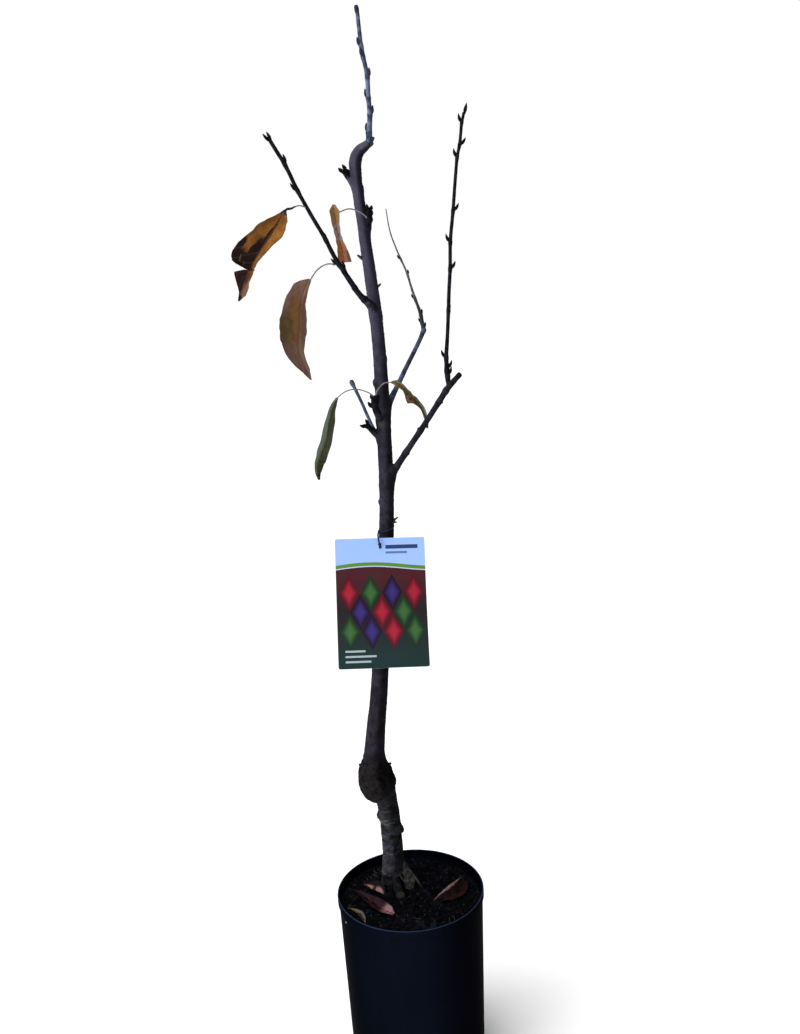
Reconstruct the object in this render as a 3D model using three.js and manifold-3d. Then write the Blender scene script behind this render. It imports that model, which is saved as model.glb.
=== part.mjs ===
// A young grafted cherry tree in a round nursery pot, late in autumn: a leaning stem with a healed
// graft knob, boughs pruned to stubs, thin bare shoots with buds, the last hanging leaves, a hanging
// plant label, and fallen leaves on the potting mix. Millimetres, +Z up, +X right, +Y to the back.
// The origin is the centre of the pot's flat underside.

import * as THREE from "three";
import { mergeVertices } from "three/addons/utils/BufferGeometryUtils.js";
import Module from "manifold-3d";

const wasm = await Module();
wasm.setup();

// Clearance between neighbouring pieces
const GAP = 0.3;

// Pot
const POT_HEIGHT = 260;
const POT_RIM_RADIUS = 100;
const POT_FOOT_RADIUS = 92;
const POT_WALL = 2;
const POT_FLOOR = 3;
const POT_COLLAR_HEIGHT = 12;
const POT_COLLAR_PROUD = 1.8;
const POT_SEGMENTS = 40;
const DRAIN_HOLES = 8;
const DRAIN_HOLE_RADIUS = 5;
const DRAIN_CIRCLE_RADIUS = 68;

// Potting mix
const GROUND = 248;
const SOIL_LEVEL = 246;
const SOIL_RINGS = 8;
const SOIL_PATCH = { x: -13, y: 27, flat: 37, blend: 55 };

// Label
const LABEL_WIDTH = 110;
const LABEL_HEIGHT = 160;
const LABEL_THICKNESS = 1;
const LABEL_TOP = [-13, -6, 760];
const LABEL_TILT = 25;
const LABEL_ROLL = -2.9;
const LABEL_YAW = 4.8;
const LABEL_BOW = 5;
const LABEL_HOLE_RADIUS = 3;
const LABEL_HOLE_DROP = 11;

// Wire tie
const WIRE_RADIUS = 0.8;
const WIRE_RING = { centre: [-4.6, 14.4, 766], radius: 10.5, tilt: 18 };

// Leaf stalks and the stations along a fallen leaf's rib
const STALK_THICK = 2.2;
const STALK_THIN = 1.5;
const FALLEN_STATIONS = 9;

const TO_VIEWER = new THREE.Vector3(0, -1, 0);
const UPWARD = new THREE.Vector3(0, 0, 1);
const { degToRad, lerp, smoothstep } = THREE.MathUtils;

// Closed geometry as a solid that can be joined and cut
function toSolid(geometry) {
  geometry.deleteAttribute("normal");
  geometry.deleteAttribute("uv");
  const merged = mergeVertices(geometry, 1e-4);
  return new wasm.Manifold(new wasm.Mesh({
    numProp: 3,
    vertProperties: Float32Array.from(merged.attributes.position.array),
    triVerts: Uint32Array.from(merged.index.array),
  }));
}

function join(solids) {
  return solids.reduce((whole, solid) => whole.add(solid));
}

// Direction at a right angle to the way forward, as near as can be to the reference
function frontOf(forward, reference) {
  return reference.clone().addScaledVector(forward, -reference.dot(forward)).normalize();
}

function curveThrough(stations) {
  const points = stations.map(([x, y, z]) => new THREE.Vector3(x, y, z));
  return new THREE.CatmullRomCurve3(points, false, "centripetal");
}

// A list of values spread evenly along a piece, read at a share of its length
function spread(values, along) {
  const place = along * (values.length - 1);
  const index = Math.min(Math.floor(place), values.length - 2);
  return lerp(values[index], values[index + 1], place - index);
}

function diameterAt(stations, along) {
  return spread(stations.map((station) => station[3]), along);
}

// A round tapering limb through its stations [x, y, z, diameter], flat at both ends.
// The relief gives a factor on the radius from the place along, the angle and the height.
function limb(stations, { sides = 8, rings = 3, relief = () => 1 } = {}) {
  const curve = curveThrough(stations);
  const geometry = new THREE.CylinderGeometry(1, 1, 1, sides, (stations.length - 1) * rings);
  const vertex = geometry.attributes.position;
  for (let i = 0; i < vertex.count; i += 1) {
    const along = THREE.MathUtils.clamp(vertex.getY(i) + 0.5, 0, 1);
    const right = vertex.getX(i);
    const front = vertex.getZ(i);
    const point = curve.getPoint(along);
    const forward = curve.getTangent(along);
    const frontward = frontOf(forward, TO_VIEWER);
    const sideways = forward.clone().cross(frontward);
    const angle = Math.atan2(front, right);
    const radius = (diameterAt(stations, along) / 2) * relief(along, angle, point.z);
    point.addScaledVector(sideways, right * radius).addScaledVector(frontward, front * radius);
    vertex.setXYZ(i, point.x, point.y, point.z);
  }
  return toSolid(geometry);
}

// The same limb grown by the clearance all round and at its tip, to cut what it carries
function grown(stations) {
  const wider = stations.map(([x, y, z, diameter]) => [x, y, z, diameter + 2 * GAP]);
  const tip = new THREE.Vector3(...stations.at(-1).slice(0, 3));
  const before = new THREE.Vector3(...stations.at(-2).slice(0, 3));
  tip.addScaledVector(tip.clone().sub(before).normalize(), GAP);
  wider[wider.length - 1] = [tip.x, tip.y, tip.z, stations.at(-1)[3] + 2 * GAP];
  return wider;
}

// A pointed bud that stands on a shoot at a place along it, leaning out at a compass angle
function bud(stations, along, compass, { length, width, lean = 35 }) {
  const curve = curveThrough(stations);
  const forward = curve.getTangent(along);
  const frontward = frontOf(forward, TO_VIEWER);
  const sideways = forward.clone().cross(frontward);
  const outward = sideways.multiplyScalar(Math.cos(degToRad(compass)))
    .addScaledVector(frontward, Math.sin(degToRad(compass)));
  const direction = forward.multiplyScalar(Math.cos(degToRad(lean)))
    .addScaledVector(outward, Math.sin(degToRad(lean)));
  const root = curve.getPoint(along)
    .addScaledVector(outward, diameterAt(stations, along) * 0.3);
  const profile = [[-0.15, 0.6], [0.35, 1], [0.75, 0.6], [1, 0.16]];
  return limb(profile.map(([reach, share]) => {
    const point = root.clone().addScaledVector(direction, reach * length);
    return [point.x, point.y, point.z, share * width];
  }), { sides: 5, rings: 1 });
}

// The share of a rising shoot's length at which it reaches a height
function alongAtHeight(stations, height) {
  const curve = curveThrough(stations);
  let [low, high] = [0, 1];
  while (high - low > 1e-3) {
    const middle = (low + high) / 2;
    [low, high] = curve.getPoint(middle).z < height ? [middle, high] : [low, middle];
  }
  return low;
}

// A shoot with side buds at [height, compass angle] and a bud, or a fork of buds, on its tip
function shoot(stations, sideBuds, { length = 6, width = 4, forked = false } = {}) {
  const solids = [limb(stations, { sides: 6, rings: 2 })];
  for (const [height, compass] of sideBuds) {
    solids.push(bud(stations, alongAtHeight(stations, height), compass, { length, width }));
  }
  for (const compass of forked ? [0, 180] : [0]) {
    solids.push(bud(stations, 1, compass, { length, width, lean: forked ? 28 : 4 }));
  }
  return join(solids);
}

// Width of a blade as a share of its widest, from stalk to pointed tip
function bladeOutline(along) {
  return Math.max(Math.sin(Math.PI * along) ** 0.85, 0.04);
}

// Place on one half of a blade that leaves the rib at an angle and curls on from there
function halfBlade(share, fold, curl) {
  const turn = Math.max(Math.abs(curl), 1e-3) * (curl < 0 ? -1 : 1);
  const angle = fold + turn * share;
  return {
    angle,
    across: (Math.sin(angle) - Math.sin(fold)) / turn,
    up: (Math.cos(fold) - Math.cos(angle)) / turn,
  };
}

// A blade on a curved rib with stations [x, y, z, span, span]: the spans are how far its two edges
// stand off to the sides, square to the way it faces. facing turns the blade from the reference,
// fold is how far each half rises from flat at the rib, both in degrees along the length, and curl
// is how far each half turns on to its edge.
function blade({ rib, thickness, facing = [0, 0], fold, curl, reference = TO_VIEWER }) {
  const curve = curveThrough(rib);
  const spans = [rib.map((station) => station[3]), rib.map((station) => station[4])];
  const geometry = new THREE.BoxGeometry(1, 1, 1, rib.length - 1, 1, 4);
  const vertex = geometry.attributes.position;
  for (let i = 0; i < vertex.count; i += 1) {
    const along = THREE.MathUtils.clamp(vertex.getX(i) + 0.5, 0, 1);
    const side = Math.sign(vertex.getZ(i));
    const share = Math.abs(vertex.getZ(i)) * 2;
    const point = curve.getPoint(along);
    const forward = curve.getTangent(along);
    const turn = degToRad(spread(facing, along));
    const normal = frontOf(forward, reference).applyAxisAngle(forward, turn);
    const across = forward.clone().cross(normal);
    const lift = degToRad(spread(fold, along));
    const bent = halfBlade(share, lift, degToRad(curl));
    const scale = spread(spans[side > 0 ? 0 : 1], along) / halfBlade(1, lift, degToRad(curl)).across;
    const skin = vertex.getY(i) * thickness;
    point.addScaledVector(across, side * (scale * bent.across - skin * Math.sin(bent.angle)));
    point.addScaledVector(normal, scale * bent.up + skin * Math.cos(bent.angle));
    vertex.setXYZ(i, point.x, point.y, point.z);
  }
  return toSolid(geometry);
}

// A leaf is its blade with a thin stalk that joins the rib at a share of its length
function leaf({ stalk, joins = 0, ...shape }) {
  const rib = curveThrough(shape.rib);
  const path = [...stalk, rib.getPoint(joins).toArray(), rib.getPoint(joins + 0.04).toArray()];
  const stations = path.map(([x, y, z], i) => {
    return [x, y, z, lerp(STALK_THICK, STALK_THIN, i / (path.length - 1))];
  });
  return join([limb(stations, { sides: 6, rings: 2 }), blade(shape)]);
}

function potSolid() {
  const wallTop = POT_HEIGHT - POT_COLLAR_HEIGHT;
  const wallRadius = POT_RIM_RADIUS - POT_COLLAR_PROUD;
  const profile = [
    [0, 0], [POT_FOOT_RADIUS - 2, 0], [POT_FOOT_RADIUS, 2],
    [wallRadius, wallTop - 1], [POT_RIM_RADIUS, wallTop + 1], [POT_RIM_RADIUS, POT_HEIGHT - 1],
    [POT_RIM_RADIUS - 0.8, POT_HEIGHT], [POT_RIM_RADIUS - POT_WALL, POT_HEIGHT - 0.6],
    [POT_RIM_RADIUS - POT_WALL, wallTop + 2], [wallRadius - POT_WALL, wallTop],
    [POT_FOOT_RADIUS - POT_WALL, POT_FLOOR + 2], [POT_FOOT_RADIUS - POT_WALL - 2, POT_FLOOR],
    [0, POT_FLOOR],
  ];
  const points = profile.map(([radius, height]) => new THREE.Vector2(radius, height));
  const cup = new THREE.LatheGeometry(points, POT_SEGMENTS).rotateX(Math.PI / 2);
  const holes = Array.from({ length: DRAIN_HOLES }, (_, i) => {
    const angle = (2 * Math.PI * (i + 0.5)) / DRAIN_HOLES;
    const hole = new THREE.CylinderGeometry(DRAIN_HOLE_RADIUS, DRAIN_HOLE_RADIUS, 4 * POT_FLOOR, 12);
    hole.rotateX(Math.PI / 2);
    hole.translate(DRAIN_CIRCLE_RADIUS * Math.cos(angle), DRAIN_CIRCLE_RADIUS * Math.sin(angle), 0);
    return toSolid(hole);
  });
  return holes.reduce((pot, hole) => pot.subtract(hole), toSolid(cup));
}

// Height of the potting mix: gently lumpy, and level under the foot of the stem
function soilHeight(x, y) {
  const lumps = 1.1 * Math.sin(x / 15 + 1) * Math.sin(y / 18 + 2) + 0.5 * Math.sin(x / 7 - y / 9);
  const away = Math.hypot(x - SOIL_PATCH.x, y - SOIL_PATCH.y);
  const loose = smoothstep(away, SOIL_PATCH.flat, SOIL_PATCH.blend);
  return lerp(GROUND - GAP, SOIL_LEVEL + lumps, loose);
}

function soilSolid() {
  const innerFoot = POT_FOOT_RADIUS - POT_WALL - GAP;
  const innerTop = POT_RIM_RADIUS - POT_COLLAR_PROUD - POT_WALL - GAP - 0.2;
  const points = [
    new THREE.Vector2(0, POT_FLOOR + GAP),
    new THREE.Vector2(innerFoot - 3, POT_FLOOR + GAP),
    new THREE.Vector2(innerFoot, POT_FLOOR + 3),
  ];
  for (let ring = SOIL_RINGS; ring >= 0; ring -= 1) {
    points.push(new THREE.Vector2((innerTop * ring) / SOIL_RINGS, SOIL_LEVEL));
  }
  const fill = new THREE.LatheGeometry(points, POT_SEGMENTS).rotateX(Math.PI / 2);
  const vertex = fill.attributes.position;
  for (let i = 0; i < vertex.count; i += 1) {
    if (vertex.getZ(i) > SOIL_LEVEL - 1) {
      vertex.setZ(i, soilHeight(vertex.getX(i), vertex.getY(i)));
    }
  }
  return toSolid(fill);
}

// Stem stations from the foot to the hooked top: rootstock, union, scion, hook
const STEM = [
  [-24.5, 41, GROUND - 6, 34], [-23, 38, 266, 31.5], [-21.9, 34, 292, 28], [-22.1, 30, 326, 27.6],
  [-23, 26.5, 352, 27.6], [-25, 24, 376, 27.4], [-28.5, 21.5, 400, 31], [-34, 19.5, 424, 30],
  [-38.6, 19, 452, 26.5], [-36.3, 19, 479, 23.6], [-28.6, 18, 531, 21.4],
  [-13.3, 16, 671, 18.7], [-2.9, 14, 791, 17], [0.3, 10.5, 915, 16.4], [-1.1, 7, 1017, 14.6],
  [-10.1, 3, 1135, 12.6], [-14.8, 1, 1188, 12.9], [-16, 0, 1204, 14], [-14.6, -0.5, 1215, 13],
  [-10.8, -1, 1221.5, 12], [-5.5, -1.5, 1225.8, 11], [0.5, -2, 1229.5, 8.6],
];
// The healed union: a lumpy ball on the stem's left that overhangs the rootstock
const UNION = [
  [-31.5, 19.5, 386, 8], [-33.5, 19.5, 391, 30], [-35.6, 19.5, 401, 43], [-36.6, 19, 415, 47],
  [-37, 19, 430, 44], [-38, 19, 443, 34], [-38, 19, 456, 25],
];
// The swelling of the stem under its right bough
const COLLAR = [[-2, 12, 806, 14], [2, 10.5, 822, 14.6], [8, 6, 838, 9]];
const FLARE_REACH = 24;

function unionRelief(along, angle, height) {
  return 1 + 0.05 * Math.sin(3 * angle + height / 6) + 0.035 * Math.sin(5 * angle - height / 4);
}

// The foot of the stem spreads in lobes
function stemRelief(along, angle, height) {
  const foot = Math.exp(-Math.max(height - GROUND, 0) / FLARE_REACH);
  return 1 + 0.12 * foot * Math.max(Math.cos(3 * angle + 0.7), 0);
}

const STEM_SHAPE = { sides: 12, rings: 3, relief: stemRelief };

function stemSolid() {
  const buttresses = [
    [[-16, 36, 288, 10], [-8, 32, 272, 15], [-1, 25, 256, 17], [2, 19, GROUND - 6, 19]],
    [[-18, 36, 276, 12], [-3, 36, 262, 11], [6, 35, 252, 9], [11, 34, GROUND - 4, 8]],
    [[-22, 34, 266, 14], [-19, 20, 256, 14], [-15, 8, 251, 12], [-13, 1, 249, 10.5]],
    [[-28, 44, 270, 14], [-38, 50, 256, 12], [-44, 55, GROUND - 6, 10]],
  ].map((stations) => limb(stations, { sides: 7, rings: 1 }));
  const stubs = [
    [[-3, 12, 774, 5], [3.5, 11, 776.5, 4.4], [7.5, 10, 779, 3], [11.3, 8.5, 782, 1.6]],
    [[-3, 12, 774, 5], [3.5, 9.5, 775.5, 3.6], [9.5, 7.5, 776, 1.8]],
    [[-11, 3, 1101, 4.5], [-15.5, 1, 1104, 4], [-19, -1, 1107, 2]],
    [[-3, 6, 1067, 4.5], [4, 5, 1070, 4], [9, 4, 1073.5, 2]],
    [[-27, 19, 428, 14], [-19, 18, 434, 10], [-16, 18, 437, 5]],
    [[-44, 18, 436, 12], [-53, 17, 441, 8], [-56.5, 17, 443, 4]],
    [[-24, 28, 334, 18], [-12.5, 24, 332, 15], [-8.5, 23, 329, 8]],
    [[-26, 27, 353, 16], [-35, 25, 353, 10], [-37.5, 24, 351, 5]],
    COLLAR,
  ].map((stations) => limb(stations, { sides: 6, rings: 1 }));
  const whole = join([
    limb(STEM, STEM_SHAPE), limb(UNION, { sides: 12, rings: 2, relief: unionRelief }),
    ...buttresses, ...stubs,
  ]);
  const below = new THREE.BoxGeometry(4 * POT_RIM_RADIUS, 4 * POT_RIM_RADIUS, 2 * GROUND);
  return whole.subtract(toSolid(below));
}

// What the boughs and spurs are cut clear of: the stem grown by the clearance
const STEM_CUTTER = join([
  limb(grown(STEM), STEM_SHAPE), limb(grown(COLLAR), { sides: 6, rings: 1 }),
]);

// Boughs, each from inside the stem to its end
const BOUGHS = {
  bough_left_upper: [
    [-1.5, 6, 1036, 11], [-5.2, -4, 1048, 9.5], [-17.4, -12, 1062, 7.1], [-32.2, -22, 1084, 5.9],
  ],
  bough_right_lower: [
    [-0.5, 13, 824, 15], [6, 8, 837, 12.4], [17.2, 0, 854.5, 7.6], [33, -12, 879, 6.9],
    [47.9, -24, 902, 6.5], [67.4, -38, 932.5, 6.2], [77.7, -47, 949, 7.1],
  ],
  bough_right_upper: [
    [0, 11, 917, 9], [7.1, 18, 927, 7.4], [16.6, 24, 941, 5.2], [32.6, 42, 967.5, 4.7],
    [49.6, 60, 995, 4.3], [56.9, 70, 1009.5, 5.1],
  ],
  bough_left_lower: [
    [-1, 12, 874, 8], [-6.7, 14, 882, 6.4], [-15.6, 22, 901, 3.9], [-26.1, 36, 926, 3.7],
    [-34, 47, 943, 4.6], [-37, 50, 950, 5.2],
  ],
};

const BOUGH_SHAPE = { sides: 8, rings: 2 };

function boughSolid(name) {
  return limb(BOUGHS[name], BOUGH_SHAPE).subtract(STEM_CUTTER);
}

function clearOf(name, solid) {
  return solid.subtract(limb(grown(BOUGHS[name]), BOUGH_SHAPE));
}

// Masses of thin growth. Each stem starts at its bough's end or in the main stem.

function leftUpperShoot() {
  const stations = [
    [-32.2, -22, 1084, 5.6], [-46.4, -32, 1109, 5.1], [-59, -43, 1137, 4.6],
    [-73.5, -56, 1167.5, 4.3], [-84.1, -67, 1194, 4], [-93.7, -78, 1215, 3.5],
    [-104.5, -88, 1236, 3.2],
  ];
  const goldLeaf = leaf({
    stalk: [[-71.5, -54.3, 1163], [-75, -57, 1165], [-81, -58, 1166], [-88, -58, 1163.5]],
    rib: [
      [-95.7, -58, 1162.2, 1, 1.6], [-101, -58.7, 1154.4, 5.4, 9.1],
      [-106.4, -59.3, 1146.6, 11.4, 11.9], [-112.1, -60, 1139, 16.7, 12.2],
      [-117.7, -60.7, 1131.4, 18.3, 9.7], [-128.6, -62, 1115.8, 25.5, 5.3],
      [-134, -62, 1107.8, 26.6, 3.3], [-137.4, -62, 1102, 24.5, 3.3], [-138.8, -62, 1099.5, 3.9, 3.4],
      [-143.3, -62, 1091, 13.1, 4.2], [-147.6, -60.7, 1082.2, 9.5, 5.6],
      [-152.1, -59.3, 1073.5, 2.9, 5.9], [-156.7, -58, 1064.8, 0.6, 1],
    ],
    thickness: 1.3, fold: [8, 8], curl: 30,
  });
  const brownLeaf = leaf({
    stalk: [
      [-44.2, -30.5, 1105], [-47, -34, 1103.5], [-53, -37, 1102], [-61, -39, 1098], [-68, -41, 1090],
    ],
    rib: [
      [-73.9, -41, 1083.3, 2.5, 1], [-81.1, -41.4, 1073.7, 12.9, 5.1],
      [-85.4, -41.8, 1062.4, 17.4, 5], [-88, -42, 1050.6, 19.8, 6.4], [-89.3, -42, 1038.6, 22.4, 8.4],
      [-90.9, -42, 1026.6, 22.7, 8.7], [-92.9, -42, 1014.5, 20.3, 8.2], [-93.5, -42, 1002.3, 15.3, 6.2],
      [-86.3, -40.8, 978.8, 4.9, 4.3], [-81.5, -40, 967.4, 0.6, 0.6],
    ],
    thickness: 1.3, fold: [8, 8], curl: 30,
  });
  const twig = shoot(stations, [[1217, 0], [1183, 185], [1128, 60], [1103, 5]], {
    length: 7, width: 4.4, forked: true,
  });
  return clearOf("bough_left_upper", join([twig, goldLeaf, brownLeaf]));
}

function rightLowerShoot() {
  const stub = [[77.7, -47, 949, 7], [86, -53, 959, 6.4], [93.1, -58, 967, 5.4]];
  const upright = [
    [80.5, -49, 952, 6], [78, -45.5, 969, 4.6], [80, -42, 1000, 3.7], [84, -36, 1051, 3.4],
    [89.9, -28, 1124.5, 3.3], [98.9, -21, 1191, 3], [104.5, -18, 1222, 2.8],
    [109, -15, 1246, 2.6], [112.6, -13, 1262, 2.3],
  ];
  const sideBuds = [
    [966, 0], [974, 10], [986, 180], [1040, 80], [1087, 0], [1117, 180], [1152, 0], [1213, 180],
    [1228, 0], [1252, 180],
  ];
  const twig = shoot(upright, sideBuds, { length: 7, width: 4.4 });
  return clearOf("bough_right_lower", join([limb(stub), twig]));
}

function rightUpperShoot() {
  const stations = [
    [56.9, 70, 1009.5, 4.6], [53.6, 75, 1029, 3.2], [45.2, 83, 1058, 2.6], [38.4, 92, 1083, 2.3],
    [29.1, 100, 1108, 2], [20.5, 108, 1135, 1.7], [17.9, 114, 1154, 1.4],
  ];
  const sideBuds = [[1018, 180], [1028, 0], [1048, 180], [1077, 0], [1097, 180]];
  return clearOf("bough_right_upper", shoot(stations, sideBuds, { length: 5.5, width: 3.4 }));
}

function leaderShoot() {
  const stations = [
    [-1, -2, 1228.8, 8.4], [3, -2.2, 1237, 6.4], [3.8, -3, 1251, 5.2], [4.2, -5, 1290, 4.6],
    [2, -6.5, 1312, 4.2], [-1.2, -8, 1330, 4], [-1.6, -9, 1359, 3.6], [-2, -10, 1373.5, 3.2],
  ];
  const sideBuds = [[1232, -20], [1245, 190], [1264, 0], [1282, 185], [1304, 10], [1339, 170]];
  return shoot(stations, sideBuds, { length: 6.5, width: 4.6 }).subtract(STEM_CUTTER);
}

// A short fruiting spur: a knobby stem with a cluster of buds on its end
function spur(stations, { buds = 3, budLength = 7, budWidth = 4.6 } = {}) {
  const cluster = Array.from({ length: buds }, (_, i) => bud(stations, 0.96, (360 * i) / buds + 40, {
    length: budLength, width: budWidth, lean: 38,
  }));
  return join([limb(stations, { sides: 7, rings: 1 }), ...cluster]);
}

function frontSpur() {
  const stations = [
    [-0.5, 9, 902, 9], [-2.8, 0, 906, 8.6], [-6.5, -5, 918, 6.3], [-8.4, -8.5, 929, 6.6],
    [-9.3, -10, 938, 8],
  ];
  const greenLeaf = leaf({
    stalk: [[-8.9, -9.2, 933.6], [-11, -10.6, 940.6], [-18.6, -12, 946], [-31.6, -15, 950], [-43.7, -18, 948]],
    rib: [
      [-53.3, -20, 941.4, 1.5, 1.5], [-59.2, -20.8, 932.9, 2.2, 4.4], [-65.8, -22.4, 913.3, 4.2, 7.2],
      [-70.4, -24, 893.1, 6, 7.7], [-78.6, -25.6, 873.9, 4.4, 9.7], [-82.6, -26.4, 864.3, 3, 9.1],
      [-83.8, -27.2, 853.9, 2.6, 5.5], [-82, -28, 843.6, 1.2, 1.2],
    ],
    thickness: 1.3, fold: [-45, -62, -62, -50, -45], curl: -8,
  });
  const oliveLeaf = leaf({
    stalk: [[-8.2, -8.4, 931.2], [-7.2, -12.2, 942], [-2.6, -16, 950], [4, -18.5, 956]],
    rib: [
      [12.2, -18, 956.4, 1, 1], [18.4, -18.7, 955.8, 3.8, 3.6], [27.8, -20, 947.9, 2.6, 3],
      [31.7, -19.3, 942.8, 5.2, 3.4], [35.9, -18.7, 938, 8.4, 3.4], [40.4, -18, 933.4, 3.8, 3.8],
      [47.8, -14.7, 922.6, 1.9, 3.1], [51.9, -11, 909.9, 2, 2.9], [53.6, -7, 896.4, 1, 1],
    ],
    thickness: 1.1, fold: [25, 50, 50], curl: 10,
  });
  return join([spur(stations), greenLeaf, oliveLeaf]).subtract(STEM_CUTTER);
}

function rightSpur() {
  const stations = [
    [-9.5, 3, 1137, 7], [-5.4, 1, 1143, 5.9], [-2.9, 0, 1154, 5.3], [-3.1, -1, 1162, 4.8],
  ];
  const rustLeaf = leaf({
    stalk: [
      [-4.6, -1, 1148], [-8, -8.5, 1152], [-15, -12, 1157], [-25, -14, 1160], [-36, -15, 1157],
    ],
    joins: 0.18,
    rib: [
      [-42.2, -15, 1165.3, 1.3, 1.3], [-42.4, -15, 1158.6, 5.3, 5.1], [-41.6, -14.6, 1145.3, 4.6, 3.4],
      [-41.3, -13.8, 1138.6, 4, 3.2], [-40.8, -13, 1131.9, 3.9, 3.1], [-39.8, -12.2, 1125.3, 3.8, 3.5],
      [-38.1, -11.4, 1118.7, 4.3, 4.8], [-35.7, -10.6, 1112.4, 6, 5.8], [-32.2, -9, 1099.2, 8, 7.8],
    ],
    thickness: 1, fold: [15, 66, 70, 45, 20], curl: 12,
  });
  return join([spur(stations, { buds: 2, budLength: 6 }), rustLeaf]).subtract(STEM_CUTTER);
}

function topLeftSpur() {
  const stations = [
    [-13, 1, 1181, 11], [-19.5, -2, 1190.5, 8.4], [-24, -5, 1197.5, 6.4], [-28, -8, 1203, 5.6],
  ];
  return spur(stations).subtract(STEM_CUTTER);
}

function lowerLeftSpur() {
  const stations = [
    [-1, 10, 882, 8], [-10, 4, 890, 6.6], [-18, 2, 899, 5.4], [-22, 1, 903, 6.6],
  ];
  return spur(stations).subtract(STEM_CUTTER);
}

// Label and tie

// Carries the label's own plane, x right, y up and z to the viewer, to where the card hangs
const LABEL_PLACE = new THREE.Matrix4()
  .makeTranslation(...LABEL_TOP)
  .multiply(new THREE.Matrix4().makeRotationZ(degToRad(LABEL_YAW)))
  .multiply(new THREE.Matrix4().makeRotationX(degToRad(90 - LABEL_TILT)))
  .multiply(new THREE.Matrix4().makeRotationZ(degToRad(LABEL_ROLL)));

function labelBow(down) {
  return -LABEL_BOW * Math.sin((Math.PI * down) / LABEL_HEIGHT);
}

function labelSolid() {
  const card = new THREE.BoxGeometry(LABEL_WIDTH, LABEL_HEIGHT, LABEL_THICKNESS, 4, 10, 1);
  card.translate(0, -LABEL_HEIGHT / 2, 0);
  const vertex = card.attributes.position;
  for (let i = 0; i < vertex.count; i += 1) {
    vertex.setZ(i, vertex.getZ(i) + labelBow(-vertex.getY(i)));
  }
  const punch = new THREE.CylinderGeometry(LABEL_HOLE_RADIUS, LABEL_HOLE_RADIUS, 20, 12);
  punch.rotateX(Math.PI / 2).translate(0, -LABEL_HOLE_DROP, 0);
  return toSolid(card.applyMatrix4(LABEL_PLACE)).subtract(toSolid(punch.applyMatrix4(LABEL_PLACE)));
}

function onLabel(right, down, front) {
  const point = new THREE.Vector3(right, -down, front + labelBow(Math.max(down, 0)));
  return point.applyMatrix4(LABEL_PLACE).toArray();
}

// A point on the middle line of the wire ring, by its angle from the right, seen from above
function onRing(angle) {
  const turn = degToRad(angle);
  const tilt = degToRad(WIRE_RING.tilt);
  const [x, y, z] = WIRE_RING.centre;
  const right = WIRE_RING.radius * Math.cos(turn);
  return [x + right * Math.cos(tilt), y + WIRE_RING.radius * Math.sin(turn), z + right * Math.sin(tilt)];
}

// The wire goes round the stem, down in front of the label, back through its hole and up again
function tieSolid() {
  const ring = new THREE.TorusGeometry(WIRE_RING.radius, WIRE_RADIUS, 6, 22);
  ring.rotateY(degToRad(-WIRE_RING.tilt)).translate(...WIRE_RING.centre);
  const route = [
    onRing(222), onLabel(-2.2, -4, 4), onLabel(-1.6, 3, 3.6), onLabel(-0.4, 9, 3.4),
    onLabel(0, 11.2, 1), onLabel(0, 10.8, -2.2), onLabel(0.4, 5, -3.6), onLabel(1.4, -2, -3),
    onRing(240),
  ];
  const strand = route.map(([x, y, z]) => [x, y, z, 2 * WIRE_RADIUS]);
  const knot = [[...onLabel(-0.8, 6.5, 3.5), 2], [...onLabel(-0.4, 8.6, 3.5), 4.2],
    [...onLabel(-0.2, 10.4, 3.5), 2]];
  return join([
    toSolid(ring), limb(strand, { sides: 6, rings: 3 }), limb(knot, { sides: 6, rings: 1 }),
  ]);
}

// Fallen leaves lie on the potting mix on their ribs, with both halves raised

function fallenLeaf({ from, to, sag, halves, stalkTo, ...shape }) {
  const length = Math.hypot(to[0] - from[0], to[1] - from[1]);
  const rib = Array.from({ length: FALLEN_STATIONS }, (_, i) => {
    const share = i / (FALLEN_STATIONS - 1);
    const bend = (sag * Math.sin(Math.PI * share)) / length;
    const x = lerp(from[0], to[0], share) - bend * (to[1] - from[1]);
    const y = lerp(from[1], to[1], share) + bend * (to[0] - from[0]);
    const wide = bladeOutline(share);
    return [x, y, soilHeight(x, y) + GAP + 0.9, halves[0] * wide, halves[1] * wide];
  });
  const solids = [blade({ ...shape, rib, thickness: 1, reference: UPWARD })];
  if (stalkTo) {
    const middle = [(from[0] + stalkTo[0]) / 2, (from[1] + stalkTo[1]) / 2];
    const stations = [rib[1], from, middle, stalkTo].map(([x, y]) => {
      return [x, y, soilHeight(x, y) + GAP + 1.1, STALK_THIN];
    });
    solids.push(limb(stations, { sides: 6, rings: 2 }));
  }
  return join(solids);
}

// Each lies from its tip to its other end and sags to one side on the way
const FALLEN = [
  { from: [-69, 39], to: [-35, 2], sag: -2, halves: [10, 10], facing: [12, -10], fold: [30, 30], curl: 24 },
  {
    from: [-23, -42], to: [-80, 24], sag: 3, halves: [10, 10], facing: [-24, 10], fold: [30, 30], curl: 22,
    stalkTo: [-9, -59],
  },
  { from: [30, -15], to: [73, 40], sag: -7, halves: [11, 18], facing: [-10, -6], fold: [22, 22], curl: 26 },
  { from: [-85, -22], to: [-60, -58], sag: 3, halves: [8, 8], facing: [-30, -20], fold: [30, 30], curl: 30 },
];

// Materials: bark, thin growth, pot, potting mix, label, wire and dead leaves

function finish(color, roughness, metalness = 0) {
  return { color, roughness, metalness };
}

const BARK = finish(0x4a4142, 0.8);
const BOUGH_BARK = finish(0x3a3638, 0.75);
const SHOOT = finish(0x4b4e58, 0.6);
const DEAD_LEAF = finish(0x7a3a2c, 0.7);

const tree = new THREE.Group();

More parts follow.
